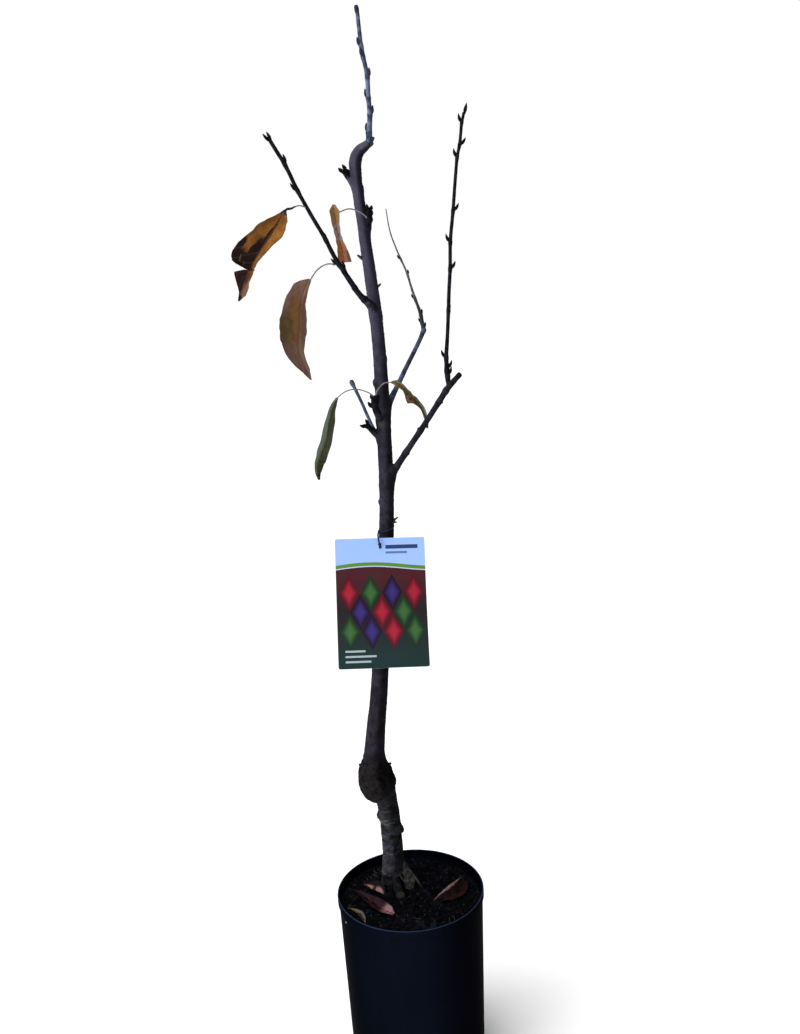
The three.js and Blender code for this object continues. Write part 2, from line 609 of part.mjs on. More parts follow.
function add(name, solid, surface) {
  const mesh = solid.getMesh();
  const geometry = new THREE.BufferGeometry();
  geometry.setAttribute("position", new THREE.BufferAttribute(mesh.vertProperties, 3));
  geometry.setIndex(new THREE.BufferAttribute(mesh.triVerts, 1));
  geometry.computeVertexNormals();
  const piece = new THREE.Mesh(geometry, new THREE.MeshStandardMaterial(surface));
  piece.name = name;
  tree.add(piece);
}

add("pot", potSolid(), finish(0x0d1220, 0.3));
add("soil", soilSolid(), finish(0x17130f, 0.95));
add("trunk", stemSolid(), BARK);
for (const name of Object.keys(BOUGHS)) {
  add(name, boughSolid(name), BOUGH_BARK);
}
add("leader_shoot", leaderShoot(), SHOOT);
add("shoot_left_upper", leftUpperShoot(), SHOOT);
add("shoot_right_lower", rightLowerShoot(), SHOOT);
add("shoot_right_upper", rightUpperShoot(), SHOOT);
add("spur_front", frontSpur(), SHOOT);
add("spur_right", rightSpur(), SHOOT);
add("spur_top_left", topLeftSpur(), SHOOT);
add("spur_left_lower", lowerLeftSpur(), SHOOT);
add("label", labelSolid(), finish(0x8fb0dc, 0.35));
add("label_tie", tieSolid(), finish(0x1d3a2a, 0.5));
FALLEN.forEach((shape, i) => add(`fallen_leaf_${i + 1}`, fallenLeaf(shape), DEAD_LEAF));

export default tree;
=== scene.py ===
# %% [markdown]
# # A potted cherry tree at the end of autumn
# The real object is a young grafted cherry in a round nursery pot: a leaning stem with a knob where
# it was grafted, boughs pruned to stubs, thin shoots with buds, and the last dry leaves. The exact
# sizes come from a packed model, which is loaded first and never moved. Everything below is built
# around it, in metres, with tables in millimetres because that is how a grower measures a tree.

# %% Load the frame
import math
import random

import bmesh
import bpy
import numpy as np
from mathutils import Matrix, Vector, noise


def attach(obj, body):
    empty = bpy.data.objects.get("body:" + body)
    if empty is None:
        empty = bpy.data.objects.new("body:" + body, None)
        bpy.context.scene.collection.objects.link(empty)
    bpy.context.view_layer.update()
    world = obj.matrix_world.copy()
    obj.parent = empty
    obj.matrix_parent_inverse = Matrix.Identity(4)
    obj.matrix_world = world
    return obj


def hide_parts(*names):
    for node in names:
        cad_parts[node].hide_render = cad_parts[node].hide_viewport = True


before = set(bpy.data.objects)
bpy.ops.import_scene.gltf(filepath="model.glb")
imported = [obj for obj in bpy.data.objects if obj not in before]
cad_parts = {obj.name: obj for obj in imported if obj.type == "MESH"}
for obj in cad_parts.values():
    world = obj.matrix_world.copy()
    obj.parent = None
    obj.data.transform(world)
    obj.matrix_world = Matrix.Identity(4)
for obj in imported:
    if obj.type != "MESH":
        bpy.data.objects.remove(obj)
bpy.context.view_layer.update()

MM = 0.001
TO_VIEWER = np.array([0.0, -1.0, 0.0])
UPWARD = np.array([0.0, 0.0, 1.0])

# %% [markdown]
# ## The camera
# The photograph was taken from a little below the tree's top, looking down, with the camera tipped
# to one side. A camera can be aimed with a constraint or placed by hand. Here it gets its place and
# two turns as numbers, because that is what a fit to the pot's rim gives.

# %% Camera
CAMERA_PLACE = (0.014, -1.395, 1.145)
CAMERA_LENS = 40
CAMERA_PITCH = 14.5
CAMERA_ROLL = -3.2

camera_data = bpy.data.cameras.new("camera")
camera_data.lens = CAMERA_LENS
camera_data.sensor_width = 36
camera = bpy.data.objects.new("camera", camera_data)
camera.matrix_world = (
    Matrix.Translation(CAMERA_PLACE)
    @ Matrix.Rotation(math.radians(90 - CAMERA_PITCH), 4, "X")
    @ Matrix.Rotation(math.radians(CAMERA_ROLL), 4, "Z")
)
bpy.context.scene.collection.objects.link(camera)
bpy.context.scene.camera = camera
print("camera at", CAMERA_PLACE, "with a lens of", CAMERA_LENS, "mm")

# %% [markdown]
# ## A studio for it
# Two large soft lamps light the tree. A small lamp would draw hard shadows, so the sun is spread
# over a wide angle, and the side lamp stands on the left, so that the stems are light on that side
# and fall off into the dark on the other.

# %% Lamps
SUN_PLACE = (-0.8, -0.5, 3.3)
SUN_STRENGTH = 3.6
SUN_SOFTNESS = 62
SIDE_PLACE = (-1.7, -0.9, 0.95)
SIDE_POWER = 34
SIDE_SIZE = 1.8
LAMPS_AIM = (0, 0, 0.75)
DOME_SEEN = 1.0
DOME_LIGHT = 0.13


def lamp(kind, name, place, **settings):
    data = bpy.data.lights.new(name, kind)
    for key, value in settings.items():
        setattr(data, key, value)
    holder = bpy.data.objects.new(name, data)
    holder.location = place
    aim = Vector(LAMPS_AIM) - Vector(place)
    holder.rotation_euler = aim.to_track_quat("-Z", "Y").to_euler()
    bpy.context.scene.collection.objects.link(holder)


lamp("SUN", "soft_sun", SUN_PLACE, energy=SUN_STRENGTH, angle=math.radians(SUN_SOFTNESS))
lamp("AREA", "side_lamp", SIDE_PLACE, energy=SIDE_POWER, size=SIDE_SIZE)
print("sun of", SUN_STRENGTH, "spread over", SUN_SOFTNESS, "degrees, side lamp of", SIDE_POWER, "W")

# %% [markdown]
# The dome is the white surround. Seen by the camera it should be plain white, but it should light
# the tree only a little, or the lamps would be washed out. The Light Path node tells the two apart.

# %% Dome
world = bpy.data.worlds.new("dome")
world.use_nodes = True
dome_nodes = world.node_tree.nodes
background = dome_nodes["Background"]
background.inputs["Color"].default_value = (1, 1, 1, 1)
seen = dome_nodes.new("ShaderNodeLightPath")
strength = dome_nodes.new("ShaderNodeMapRange")
strength.inputs["To Min"].default_value = DOME_LIGHT
strength.inputs["To Max"].default_value = DOME_SEEN
world.node_tree.links.new(seen.outputs["Is Camera Ray"], strength.inputs["Value"])
world.node_tree.links.new(strength.outputs["Result"], background.inputs["Strength"])
bpy.context.scene.world = world
bpy.context.scene.view_settings.view_transform = "Standard"
print("dome seen at", DOME_SEEN, "and lighting at", DOME_LIGHT)

# %% [markdown]
# ## Colours and finishes
# Every finish starts from Blender's Principled shader. Its nodes could be wired by hand for each
# one, but most need the same few steps: noise, a colour ramp, a mix, a bump. A small class holds
# those steps, so that a finish below reads like a recipe.

# %% Screen tones


def tone(red, green, blue):
    """A colour as read on a screen, 0 to 255, in the linear values that the shader takes."""
    return tuple(
        (c / 255 / 12.92) if c <= 10 else ((c / 255 + 0.055) / 1.055) ** 2.4
        for c in (red, green, blue)
    ) + (1,)


print("a screen tone of 128 is", round(tone(128, 128, 128)[0], 3), "in linear light")

# %% [markdown]
# The class keeps the material being made, so a finish below never handles a node by name. A colour
# is built up in layers: a base, and then each mark covers it where a mask says so.

# %% Finish helper


class Finish:
    """A material being made. Each call adds one node and gives back its output."""

    def __init__(self, name, roughness, specular=0.3):
        self.material = bpy.data.materials.new(name)
        self.material.use_nodes = True
        self.tree = self.material.node_tree
        self.shader = self.tree.nodes["Principled BSDF"]
        self.shader.inputs["Roughness"].default_value = roughness
        self.shader.inputs["Specular IOR Level"].default_value = specular

    def add(self, kind, output=0, inputs=None, **settings):
        node = self.tree.nodes.new("ShaderNode" + kind)
        for key, value in settings.items():
            setattr(node, key, value)
        for key, value in (inputs or {}).items():
            self.put(node.inputs[key], value)
        return node.outputs[output]

    def put(self, socket, value):
        if isinstance(value, bpy.types.NodeSocket):
            self.tree.links.new(value, socket)
        else:
            socket.default_value = value

    def place(self, source="Object", scale=(1, 1, 1)):
        """Coordinates: Object, UV, or the name of an attribute stored on the mesh."""
        if source in ("Object", "UV"):
            vector = self.add("TexCoord", source)
        else:
            vector = self.add("Attribute", "Vector", attribute_name=source)
        return self.add("Mapping", inputs={"Vector": vector, "Scale": scale})

    def noise(self, vector, scale, detail=3, rough=0.55):
        inputs = {"Vector": vector, "Scale": scale, "Detail": detail, "Roughness": rough}
        return self.add("TexNoise", inputs=inputs)

    def ramp(self, value, stops, smooth=False):
        colour = self.add("ValToRGB", inputs={"Fac": value})
        ramp = colour.node.color_ramp
        ramp.interpolation = "EASE" if smooth else "LINEAR"
        while len(ramp.elements) < len(stops):
            ramp.elements.new(1)
        for element, (place, shade) in zip(ramp.elements, stops):
            element.position = place
            element.color = shade if isinstance(shade, tuple) else (shade, shade, shade, 1)
        return colour

    def mix(self, share, first, second, blend="MIX"):
        inputs = {0: share, 6: first, 7: second}
        return self.add("Mix", 2, inputs, data_type="RGBA", blend_type=blend)

    def math(self, operation, first, second=0.0, third=0.0):
        inputs = {0: first, 1: second, 2: third}
        return self.add("Math", inputs=inputs, operation=operation, use_clamp=False)

    def times(self, first, second):
        return self.math("MULTIPLY", first, second)

    def far(self, x, y):
        """The length of the step x, y."""
        return self.math("SQRT", self.math("MULTIPLY_ADD", x, x, self.times(y, y)))

    def between(self, value, low, high):
        """1 from low to high and 0 elsewhere."""
        above = self.math("GREATER_THAN", value, low)
        return self.times(above, self.math("LESS_THAN", value, high))

    def cover(self, base, colour, mask, share=1.0, blend="MIX"):
        """Lays a colour over the base where the mask is 1, as strongly as share says."""
        return self.mix(self.times(mask, share), base, colour, blend)

    def split(self, vector):
        """The three parts of a vector."""
        return self.add("SeparateXYZ", inputs={"Vector": vector}).node.outputs

    def band(self, value, low, high):
        """0 below low, 1 above high and smooth between them."""
        inputs = {"Value": value, "From Min": low, "From Max": high}
        return self.add("MapRange", inputs=inputs, interpolation_type="SMOOTHSTEP")

    def bump(self, height, depth, strength=1.0):
        inputs = {"Height": height, "Distance": depth, "Strength": strength}
        if self.shader.inputs["Normal"].is_linked:
            inputs["Normal"] = self.shader.inputs["Normal"].links[0].from_socket
        self.put(self.shader.inputs["Normal"], self.add("Bump", inputs=inputs))

    def colour(self, value):
        self.put(self.shader.inputs["Base Color"], value)
        return self.material

    def rough(self, value, low, high):
        inputs = {"Value": value, "To Min": low, "To Max": high}
        self.put(self.shader.inputs["Roughness"], self.add("MapRange", inputs=inputs))


print("the finish helper has", sum(callable(step) for step in vars(Finish).values()), "steps")

# %% [markdown]
# ## The floor
# A plain pale floor catches the soft shadow that shows where the pot stands. It isn't part of the
# tree.

# %% Floor
FLOOR_HALF = 12

floor_finish = Finish("pale_floor", 0.9, 0.1)
floor_finish.colour(tone(250, 250, 250))
floor_bm = bmesh.new()
bmesh.ops.create_grid(floor_bm, x_segments=1, y_segments=1, size=FLOOR_HALF)
floor_mesh = bpy.data.meshes.new("floor")
floor_bm.to_mesh(floor_mesh)
floor_bm.free()
floor_mesh.materials.append(floor_finish.material)
floor = bpy.data.objects.new("floor", floor_mesh)
bpy.context.scene.collection.objects.link(floor)
print("floor of", 2 * FLOOR_HALF, "m a side")

# %% [markdown]
# ## How a limb grows
# A stem, a twig, a leaf stalk and even a bud are one shape: a round bar that bends through a few
# stations and thins from each to the next. A curve with a bevel would do for that, but it gives no
# hold for bark. So a plain upright cylinder is made, cut into rings, and each of its points is then
# carried to its place on the path. While the cylinder is still straight, its coordinates are stored
# as an attribute named grain: the bark pattern follows it round every bend, with no seam.

# %% Paths through stations


def path_at(stations, along):
    """A smooth curve through the stations' points, read at shares from the first to the last."""
    points = np.array([station[:3] for station in stations], float)
    points = np.vstack([2 * points[0] - points[1], points, 2 * points[-1] - points[-2]])
    place = np.clip(along, 0, 1) * (len(stations) - 1)
    index = np.minimum(place.astype(int), len(stations) - 2)
    w = (place - index)[:, None]
    before, start, end, after = (points[index + k] for k in range(4))
    d0, d1, d2 = (
        np.sqrt(np.linalg.norm(b - a, axis=1))[:, None]
        for a, b in ((before, start), (start, end), (end, after))
    )
    leave = ((start - before) / d0 - (end - before) / (d0 + d1) + (end - start) / d1) * d1
    arrive = ((end - start) / d1 - (after - start) / (d1 + d2) + (after - end) / d2) * d1
    span = end - start
    return start + leave * w + (3 * span - 2 * leave - arrive) * w**2 + (leave + arrive - 2 * span) * w**3


def unit(vectors):
    return vectors / np.linalg.norm(vectors, axis=-1, keepdims=True)


def frame_at(stations, along, reference=TO_VIEWER):
    """The directions forward, to the front and to the side at each place on a path."""
    forward = unit(path_at(stations, along + 1e-4) - path_at(stations, along - 1e-4))
    front = unit(reference - (forward @ reference)[:, None] * forward)
    return forward, front, np.cross(forward, front)


def read(values, along):
    """A list of values spread evenly along a piece, read at shares of its length."""
    return np.interp(along, np.linspace(0, 1, len(values)), values)


def widths(stations, along):
    return read([station[3] for station in stations], along)


BENT = [[0, 0, 0, 4], [0, 0, 10, 3], [10, 0, 20, 2]]
print("a bent path, halfway:", path_at(BENT, np.array([0.5]))[0].round(2), "mm")

# %% [markdown]
# Stations are not evenly spaced, but the rings of a limb should be, or the bark would be stretched
# in one place and crowded in the next. So the real length along the path is measured first. The
# noise that roughens the limbs is read in millimetres, at the points themselves.

# %% Even steps and noise


def even_steps(stations, share):
    """Turns shares of the real length into shares from station to station. Gives the length too."""
    fine = np.linspace(0, 1, 600)
    steps = np.linalg.norm(np.diff(path_at(stations, fine), axis=0), axis=1)
    length = np.concatenate([[0], np.cumsum(steps)])
    return np.interp(share * length[-1], length, fine), length[-1]


def cloud(points, scale, depth=3, seed=0):
    """Fractal noise at points in millimetres. scale may differ by axis."""
    places = points * np.array(scale) + seed * 17.3
    return np.array([noise.fractal(Vector(p), 1.0, 2.0, depth) for p in places])


print("the bent path is", round(even_steps(BENT, np.array([1.0]))[1], 1), "mm long")

# %% [markdown]
# Now the limb itself: a cylinder from Blender's cone operator, its long edges subdivided into
# rings, and each vertex carried to its place on the path. Relief, such as the swelling at a bud, is
# added to the radius on the way, and a seed moves the bark pattern along the grain.

# %% Limbs


def cylinder(bm, sides, rings):
    """An upright cylinder of radius 1 and height 1, cut into rings. Gives its vertices."""
    start = len(bm.verts)
    made = bmesh.ops.create_cone(
        bm, cap_ends=True, segments=sides, radius1=1, radius2=1, depth=1
    )
    foot = [v for v in made["verts"] if v.co.z < 0]
    upright = [e for v in foot for e in v.link_edges if e.other_vert(v).co.z > 0]
    bmesh.ops.subdivide_edges(bm, edges=upright, cuts=rings - 1)
    bm.verts.ensure_lookup_table()
    return bm.verts[start:]


def grain_layer(bm):
    """The attribute that holds each point's place on the straight limb."""
    layers = bm.verts.layers.float_vector
    return layers.get("grain") or layers.new("grain")


def settle(bm, verts, points, grain):
    """Puts vertices at points in millimetres and stores their grain coordinates."""
    layer = grain_layer(bm)
    for v, point, straight in zip(verts, points * MM, grain * MM):
        v.co = point
        v[layer] = straight


SEED_STEP = 91.7


def limb(bm, stations, sides=12, rings=24, relief=None, seed=0, material=0):
    """A tapering limb. relief gives what to add to the radius from the grain and the share."""
    grain_layer(bm)
    verts = cylinder(bm, sides, rings)
    straight = np.array([v.co for v in verts])
    along, length = even_steps(stations, straight[:, 2] + 0.5)
    radius = widths(stations, along) / 2
    grain = straight * np.stack([radius, radius, np.full(len(radius), length)], axis=1)
    grain[:, 2] += seed * SEED_STEP
    if relief is not None:
        radius = radius + relief(grain, along)
    _, front, side = frame_at(stations, along)
    points = path_at(stations, along)
    points += side * (straight[:, :1] * radius[:, None]) + front * (straight[:, 1:2] * radius[:, None])
    settle(bm, verts, points, grain)
    for face in {f for v in verts for f in v.link_faces}:
        face.material_index = material
        face.smooth = len(face.verts) == 4
    return verts


trial_bm = bmesh.new()
print("a trial limb has", len(limb(trial_bm, BENT)), "points")
trial_bm.free()

# %% [markdown]
# Every finished mesh becomes an object that rides with the tree, takes its finishes and stands
# for one or more nodes of the solid model.

# %% Finished pieces


def piece(bm, name, finishes, nodes=(), open_sheet=False):
    """Closes a mesh into an object that rides with the tree and stands for the nodes named."""
    mesh = bpy.data.meshes.new(name)
    if not open_sheet:
        bmesh.ops.recalc_face_normals(bm, faces=bm.faces)
    bm.to_mesh(mesh)
    bm.free()
    made = bpy.data.objects.new(name, mesh)
    bpy.context.scene.collection.objects.link(made)
    for material in finishes:
        mesh.materials.append(material)
    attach(made, "root")
    if nodes:
        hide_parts(*nodes)
    print(name, len(mesh.polygons), "faces")
    return made


print("a piece rides on root and stands for nodes of the solid model")

# %% [markdown]
# ## Bark
# Young cherry bark is a dark, faintly mauve skin with pale breathing pores that lie across the
# stem. Noise on the object's own coordinates would smear where the stem leans and bends. The
# patterns are read from the grain coordinates instead, and three marks from a second attribute
# that is worked out with the relief: how pale, how cracked and how old the bark is. The crack
# mark also carries painted shade in the crease under the knob and in its pits. Painted shade
# darkens the right side of every limb, and the stem's right side under its hook.

# %% Bark
PORES = (260, 260, 900)
FINE_PORES = (500, 500, 1500)
LENGTHWISE = (700, 700, 60)
OLD_FLECKS = [(0.36, tone(10, 10, 10)), (0.7, tone(34, 32, 30))]
PALE_FLAKE = tone(88, 89, 92)
CRACK_AND_SHADE = tone(6, 5, 6)
PAINTED_SHADE_RIGHT_SIDE = tone(112, 110, 120)
PAINTED_SHADE_UNDER_HOOK = tone(92, 92, 104)


def bark_finish(name, dark, light, pore, pores=PORES, mottle=90, zones=(), under_hook_painted_shade=0.0):
    """Bark in two tones with pores. Each zone of height has a start, a full height, a share, a tone.
    Painted shade darkens the right side, and the underside of the hook by the share given.
    """
    finish = Finish(name, 0.9, 0.02)
    grain = finish.place("grain")
    base = finish.ramp(finish.noise(grain, mottle, 5), [(0.34, dark), (0.68, light)], True)
    streak = finish.band(finish.noise(finish.place("grain", LENGTHWISE), 1, 2), 0.45, 0.75)
    base = finish.cover(base, light, streak, 0.35)
    pore_mask = finish.band(finish.noise(finish.place("grain", pores), 1, 1), 0.66, 0.74)
    base = finish.cover(base, pore, pore_mask, 0.5)
    place = finish.place()
    ragged = finish.math("MULTIPLY_ADD", finish.noise(place, 160, 4), 0.02, -0.01)
    height = finish.math("ADD", finish.split(place)["Z"], ragged)
    for start, full, share, colour in zones:
        base = finish.cover(base, colour, finish.band(height, start, full), share)
    wear_and_shade = finish.split(finish.add("Attribute", "Vector", attribute_name="wear_and_shade"))
    base = finish.cover(base, finish.ramp(finish.noise(grain, 150, 7), OLD_FLECKS), wear_and_shade["Z"])
    base = finish.cover(base, PALE_FLAKE, wear_and_shade["X"])
    # Cracks, and painted shade in the knob's crease and pits.
    base = finish.cover(base, CRACK_AND_SHADE, wear_and_shade["Y"])
    # Painted shade: the right side of every limb is darkened, as if the light came from the left.
    across = finish.split(grain)["X"]
    base = finish.cover(base, PAINTED_SHADE_RIGHT_SIDE, finish.band(across, -0.002, 0.005), 0.65, "MULTIPLY")
    # Painted shade under the stem's hook, on its right side.
    hook = finish.times(finish.band(height, 1.05, 1.15), finish.band(across, -0.001, 0.003))
    base = finish.cover(base, PAINTED_SHADE_UNDER_HOOK, hook, under_hook_painted_shade, "MULTIPLY")
    finish.bump(finish.noise(grain, 900, 4), 0.0004, 0.7)
    finish.bump(pore_mask, 0.0004, 0.5)
    return finish.colour(base)


print("bark pores are", 1000 / PORES[0], "mm round the stem and", round(1000 / PORES[2], 1), "mm along it")

# %% [markdown]
# The stem changes colour with its height: mauve grey where it hooks over, brown black in the
# middle, grey and lilac on the rootstock, and nearly black where it enters the mix. The boughs are
# darker, two of them bluish grey, and the thin shoots have pores half as large.

# %% Bark of the stem, boughs and shoots
# Zones of the stem: the heights where each starts and is full, its share and its tone
STEM_ZONES = [
    (0.9, 1.12, 0.6, tone(84, 82, 102)),
    (0.68, 0.54, 0.3, tone(27, 24, 28)),
    (0.41, 0.37, 0.75, tone(42, 44, 46)),
    (0.324, 0.317, 0.5, tone(62, 57, 80)),
    (0.31, 0.306, 0.7, tone(44, 44, 46)),
    (0.268, 0.2665, 0.7, tone(82, 83, 86)),
    (0.2662, 0.2648, 0.95, tone(7, 7, 9)),
]
THIN_SHOOT_ZONES = [(1.06, 1.035, 0.75, tone(34, 34, 42))]

STEM_BARK = bark_finish(
    "stem_bark", tone(28, 26, 32), tone(50, 47, 58), tone(66, 63, 76), zones=STEM_ZONES,
    under_hook_painted_shade=0.6,
)
BOUGH_BARK = bark_finish("bough_bark", tone(20, 20, 25), tone(40, 40, 48), tone(60, 58, 66))
GREY_BARK = bark_finish("grey_bough_bark", tone(40, 43, 58), tone(87, 93, 119), tone(106, 110, 128))
SHOOT_SKIN = bark_finish(
    "shoot_skin", tone(15, 15, 19), tone(32, 32, 39), tone(56, 52, 54), FINE_PORES, 160
)
THIN_SKIN = bark_finish(
    "thin_shoot_skin", tone(58, 58, 62), tone(96, 98, 106), tone(110, 108, 110), FINE_PORES, 160,
    zones=THIN_SHOOT_ZONES,
)
LEADER_SKIN = bark_finish(
    "leader_skin", tone(42, 46, 62), tone(104, 114, 142), tone(128, 130, 146), FINE_PORES, 110
)
print("six barks, the stem's with", len(STEM_ZONES), "zones of height")

# %% [markdown]
# ## Buds, cut wood and torn bark
# Bud scales are brown black and plain, so one noise is enough. Where a root was sawn off, the wood
# shows rings: the sine of the distance from the grain's middle line. Torn bark is grey and fibrous.

# %% Bud scales, cut wood and torn bark


def bud_scales(name, dark, light):
    finish = Finish(name, 0.7, 0.03)
    return finish.colour(finish.ramp(finish.noise(finish.place(), 700, 2), [(0.35, dark), (0.8, light)]))


BUD_SCALES = bud_scales("bud_scales", tone(8, 7, 9), tone(30, 24, 25))
LEADER_BUDS = bud_scales("leader_bud_scales", tone(26, 27, 38), tone(66, 70, 92))

RING_COUNT = 5200

wood_finish = Finish("cut_wood", 0.85, 0.03)
wood_parts = wood_finish.split(wood_finish.place("grain"))
wood_radius = wood_finish.far(wood_parts["X"], wood_parts["Y"])
wood_rings = wood_finish.math("SINE", wood_finish.times(wood_radius, RING_COUNT))
CUT_WOOD = wood_finish.colour(
    wood_finish.ramp(wood_rings, [(0.2, tone(40, 38, 33)), (0.9, tone(92, 90, 80))], True)
)
torn_finish = Finish("torn_bark", 0.9, 0.02)
torn_noise = torn_finish.noise(torn_finish.place(), 210, 6)
TORN_BARK = torn_finish.colour(
    torn_finish.ramp(torn_noise, [(0.36, tone(32, 32, 32)), (0.7, tone(62, 62, 59))])
)
print("rings in the cut wood every", round(2000 * math.pi / RING_COUNT, 2), "mm")

# %% [markdown]
# ## Rules of growth
# A limb is never quite smooth: it swells round each bud and its skin is faintly uneven. Both are
# given as relief, a function that a limb calls with its grain coordinates. A bud is found by its
# height or its share of the limb, and by a compass angle round it, 0 to the right in the picture.

# %% Swellings and compass


def bump_at(value, middle, width):
    """A soft bump, 1 at the middle and about a third at one width from it."""
    return np.exp(-(((value - middle) / width) ** 2))


def along_at_height(stations, height):
    """The share from station to station at which a rising shoot reaches a height."""
    fine = np.linspace(0, 1, 900)
    return float(fine[np.argmax(path_at(stations, fine)[:, 2] >= height)])


def swellings(places, depth, width):
    """Relief that thickens a limb round each place, given as shares from station to station."""

    def relief(grain, along):
        total = 0.12 * cloud(grain, (0.5, 0.5, 0.18), 3, 9) + 0.05 * cloud(grain, (1.5, 1.5, 1.5), 2, 4)
        for place in places:
            total += depth * bump_at(along, place, width)
        return total

    return relief


def outward_at(stations, along, compass):
    """The directions forward and out of a limb, at a compass angle round it."""
    forward, front, side = (d[0] for d in frame_at(stations, np.array([along])))
    turn = math.radians(compass)
    return forward, side * math.cos(turn) + front * math.sin(turn)


print("out of an upright limb at 90 degrees:", outward_at(BENT[:2], 0.5, 90)[1].round(2))

# %% [markdown]
# A bud is a short limb whose width follows a bud's outline. It leans out from its limb and turns up
# towards its tip. Its overlapping scales are a saw of small steps in the radius, turned with the
# angle round the bud.

# %% Buds
# A bud's outline: shares of its length and of its width
BUD_OUTLINE = [(-0.3, 0.4), (0, 0.72), (0.28, 1), (0.55, 0.86), (0.8, 0.5), (1, 0.14)]
SCALE_ROWS = 5


def bud(bm, stations, along, compass, length, width, lean=35, material=1):
    """A pointed bud of overlapping scales, leaning out from a limb at a compass angle."""
    forward, out = outward_at(stations, along, compass)
    tilt = math.radians(lean)
    at = np.array([along])
    root = path_at(stations, at)[0] + out * float(widths(stations, at)[0]) * 0.3
    places = []
    for reach, share in BUD_OUTLINE:
        turned = tilt * (1.25 - 0.5 * reach)
        way = forward * math.cos(turned) + out * math.sin(turned)
        places.append([*(root + way * reach * length), share * width])

    def scales(grain, share):
        angle = np.arctan2(grain[:, 1], grain[:, 0])
        return 0.06 * width * (np.abs(((share * SCALE_ROWS + angle / math.pi) % 1) - 0.5) - 0.25)

    limb(bm, places, 10, 12, scales, material=material)


print("a bud is widest at", BUD_OUTLINE[2][0], "of its length")

# %% [markdown]
# A shoot grows a little towards each bud that it makes, so it runs in a faint zigzag. A bend is
# added at each bud and the path is read again. A spur grows only a few millimetres a year, and old
# bud scales leave a ring round it for each year, so its relief is a wave along the grain.

# %% Shoots and spurs
SHOOT_RING_STEP = 1.2
YEAR_RINGS = 2.6


def jointed(stations, side_buds, step):
    """The same shoot with a small bend at each bud, towards the bud's side."""
    nodes = {along_at_height(stations, height): compass for height, compass in side_buds}
    ends = sorted([0.0, *nodes, 1.0])
    shares = sorted({*ends, *((a + b) / 2 for a, b in zip(ends[:-1], ends[1:]))})
    bent = []
    for share in shares:
        point = path_at(stations, np.array([share]))[0]
        if share in nodes:
            point = point + outward_at(stations, share, nodes[share])[1] * step
        bent.append([*point, float(widths(stations, np.array([share]))[0])])
    return bent


def shoot(bm, stations, side_buds, size, tips, lean=24, sides=14, step=0.5):
    """A shoot with side buds at [height, compass angle], and tips at [compass, lean, length, width]."""
    bent = jointed(stations, side_buds, step)

    def knuckles(grain, along):
        heights = path_at(bent, along)[:, 2]
        total = 0.1 * cloud(grain, (0.5, 0.5, 0.18), 3, 9)
        for height, _ in side_buds:
            total += 0.5 * bump_at(heights, height - 1, 3.2)
        return total

    rings = int(even_steps(bent, np.array([1.0]))[1] / SHOOT_RING_STEP)
    limb(bm, bent, sides, rings, knuckles)
    for height, compass in side_buds:
        bud(bm, bent, along_at_height(bent, height), compass, *size, lean)
    for compass, tip_lean, length, width in tips:
        bud(bm, bent, 1.0, compass, length, width, tip_lean)


def spur(bm, stations, buds):
    """A short, knobby fruiting spur with buds at [share, compass, length, width, lean]."""

    def knobby(grain, along):
        rings = np.sin(grain[:, 2] * YEAR_RINGS) * 0.22
        return rings + 0.45 * cloud(grain, (0.3, 0.3, 0.22), 3, 7) + 0.4 * bump_at(along, 0.95, 0.07)

    limb(bm, stations, 24, 46, knobby)
    for placed in buds:
        bud(bm, stations, *placed)


two_buds = jointed([[0, 0, 0, 4], [0, 0, 100, 3]], [[30, 0], [70, 180]], 0.5)
print("a shoot with two buds bends through", len(two_buds), "stations")

# %% [markdown]
# ## The stem
# The stem is one growth: rootstock, the swollen knob where the scion was grafted on, and the scion
# that leans and hooks over at its top. Roots, the knob and the feet of the boughs run into it with
# soft fillets, as living wood does. Cutting and joining solids would leave sharp seams. Here each
# point of the stem's cylinder looks outwards from the middle line until it has left every part, and
# the parts' distances are blended, which is what makes the fillets.

# %% Stem tables
# Stations are [x, y, z, width] in millimetres, from the foot of a limb to its tip
GROUND = 248
STEM = [
    [-24.3, 41, 242, 34], [-22.8, 38, 266, 31.8], [-21.7, 34, 292, 28.4], [-21.9, 30, 326, 28],
    [-22.8, 26.5, 352, 28], [-24.8, 24, 376, 28], [-28.5, 21.5, 400, 31], [-34, 19.5, 424, 30],
    [-37.6, 19, 452, 28], [-35.6, 19, 476, 26], [-28, 18, 531, 23], [-12.8, 16, 671, 20],
    [-2.3, 14, 791, 18.3], [0.2, 10.5, 915, 17.9], [-0.6, 7, 1017, 15.9], [-10, 3, 1135, 13.5],
    [-14.6, 1, 1188, 12.9], [-15.3, 0, 1202, 14.4], [-15.1, 0, 1211, 15], [-13.1, -0.5, 1218.4, 14.6],
    [-8.9, -1, 1224.6, 13], [-3.2, -1.5, 1228.4, 10.8], [1.6, -2, 1232, 8.6],
]
KNOB = [
    [-32.4, 19.5, 396.5, 14], [-34.2, 19.5, 400.6, 33.4], [-35.6, 19.5, 406, 46.5], [-36.6, 19, 416, 50],
    [-38.8, 19, 429, 44], [-40.8, 19, 441, 30.5], [-38.6, 19, 456, 25],
]
ROOTS = [
    [[-16, 36, 288, 10], [-9, 33, 272, 14], [-2, 28, 256, 15], [1, 24, 242, 17]],
    [[-18, 36, 276, 12], [-3, 36, 262, 11], [6, 35, 252, 9], [11, 34, 244, 8]],
    [[-26, 46, 262, 12], [-34, 52, 252, 10], [-40, 57, 242, 9]],
]
CUT_ROOT = [[-22, 34, 266, 14], [-19, 20, 257, 14], [-15.8, 7, 252.4, 12], [-14.3, -4.5, 252.2, 11]]
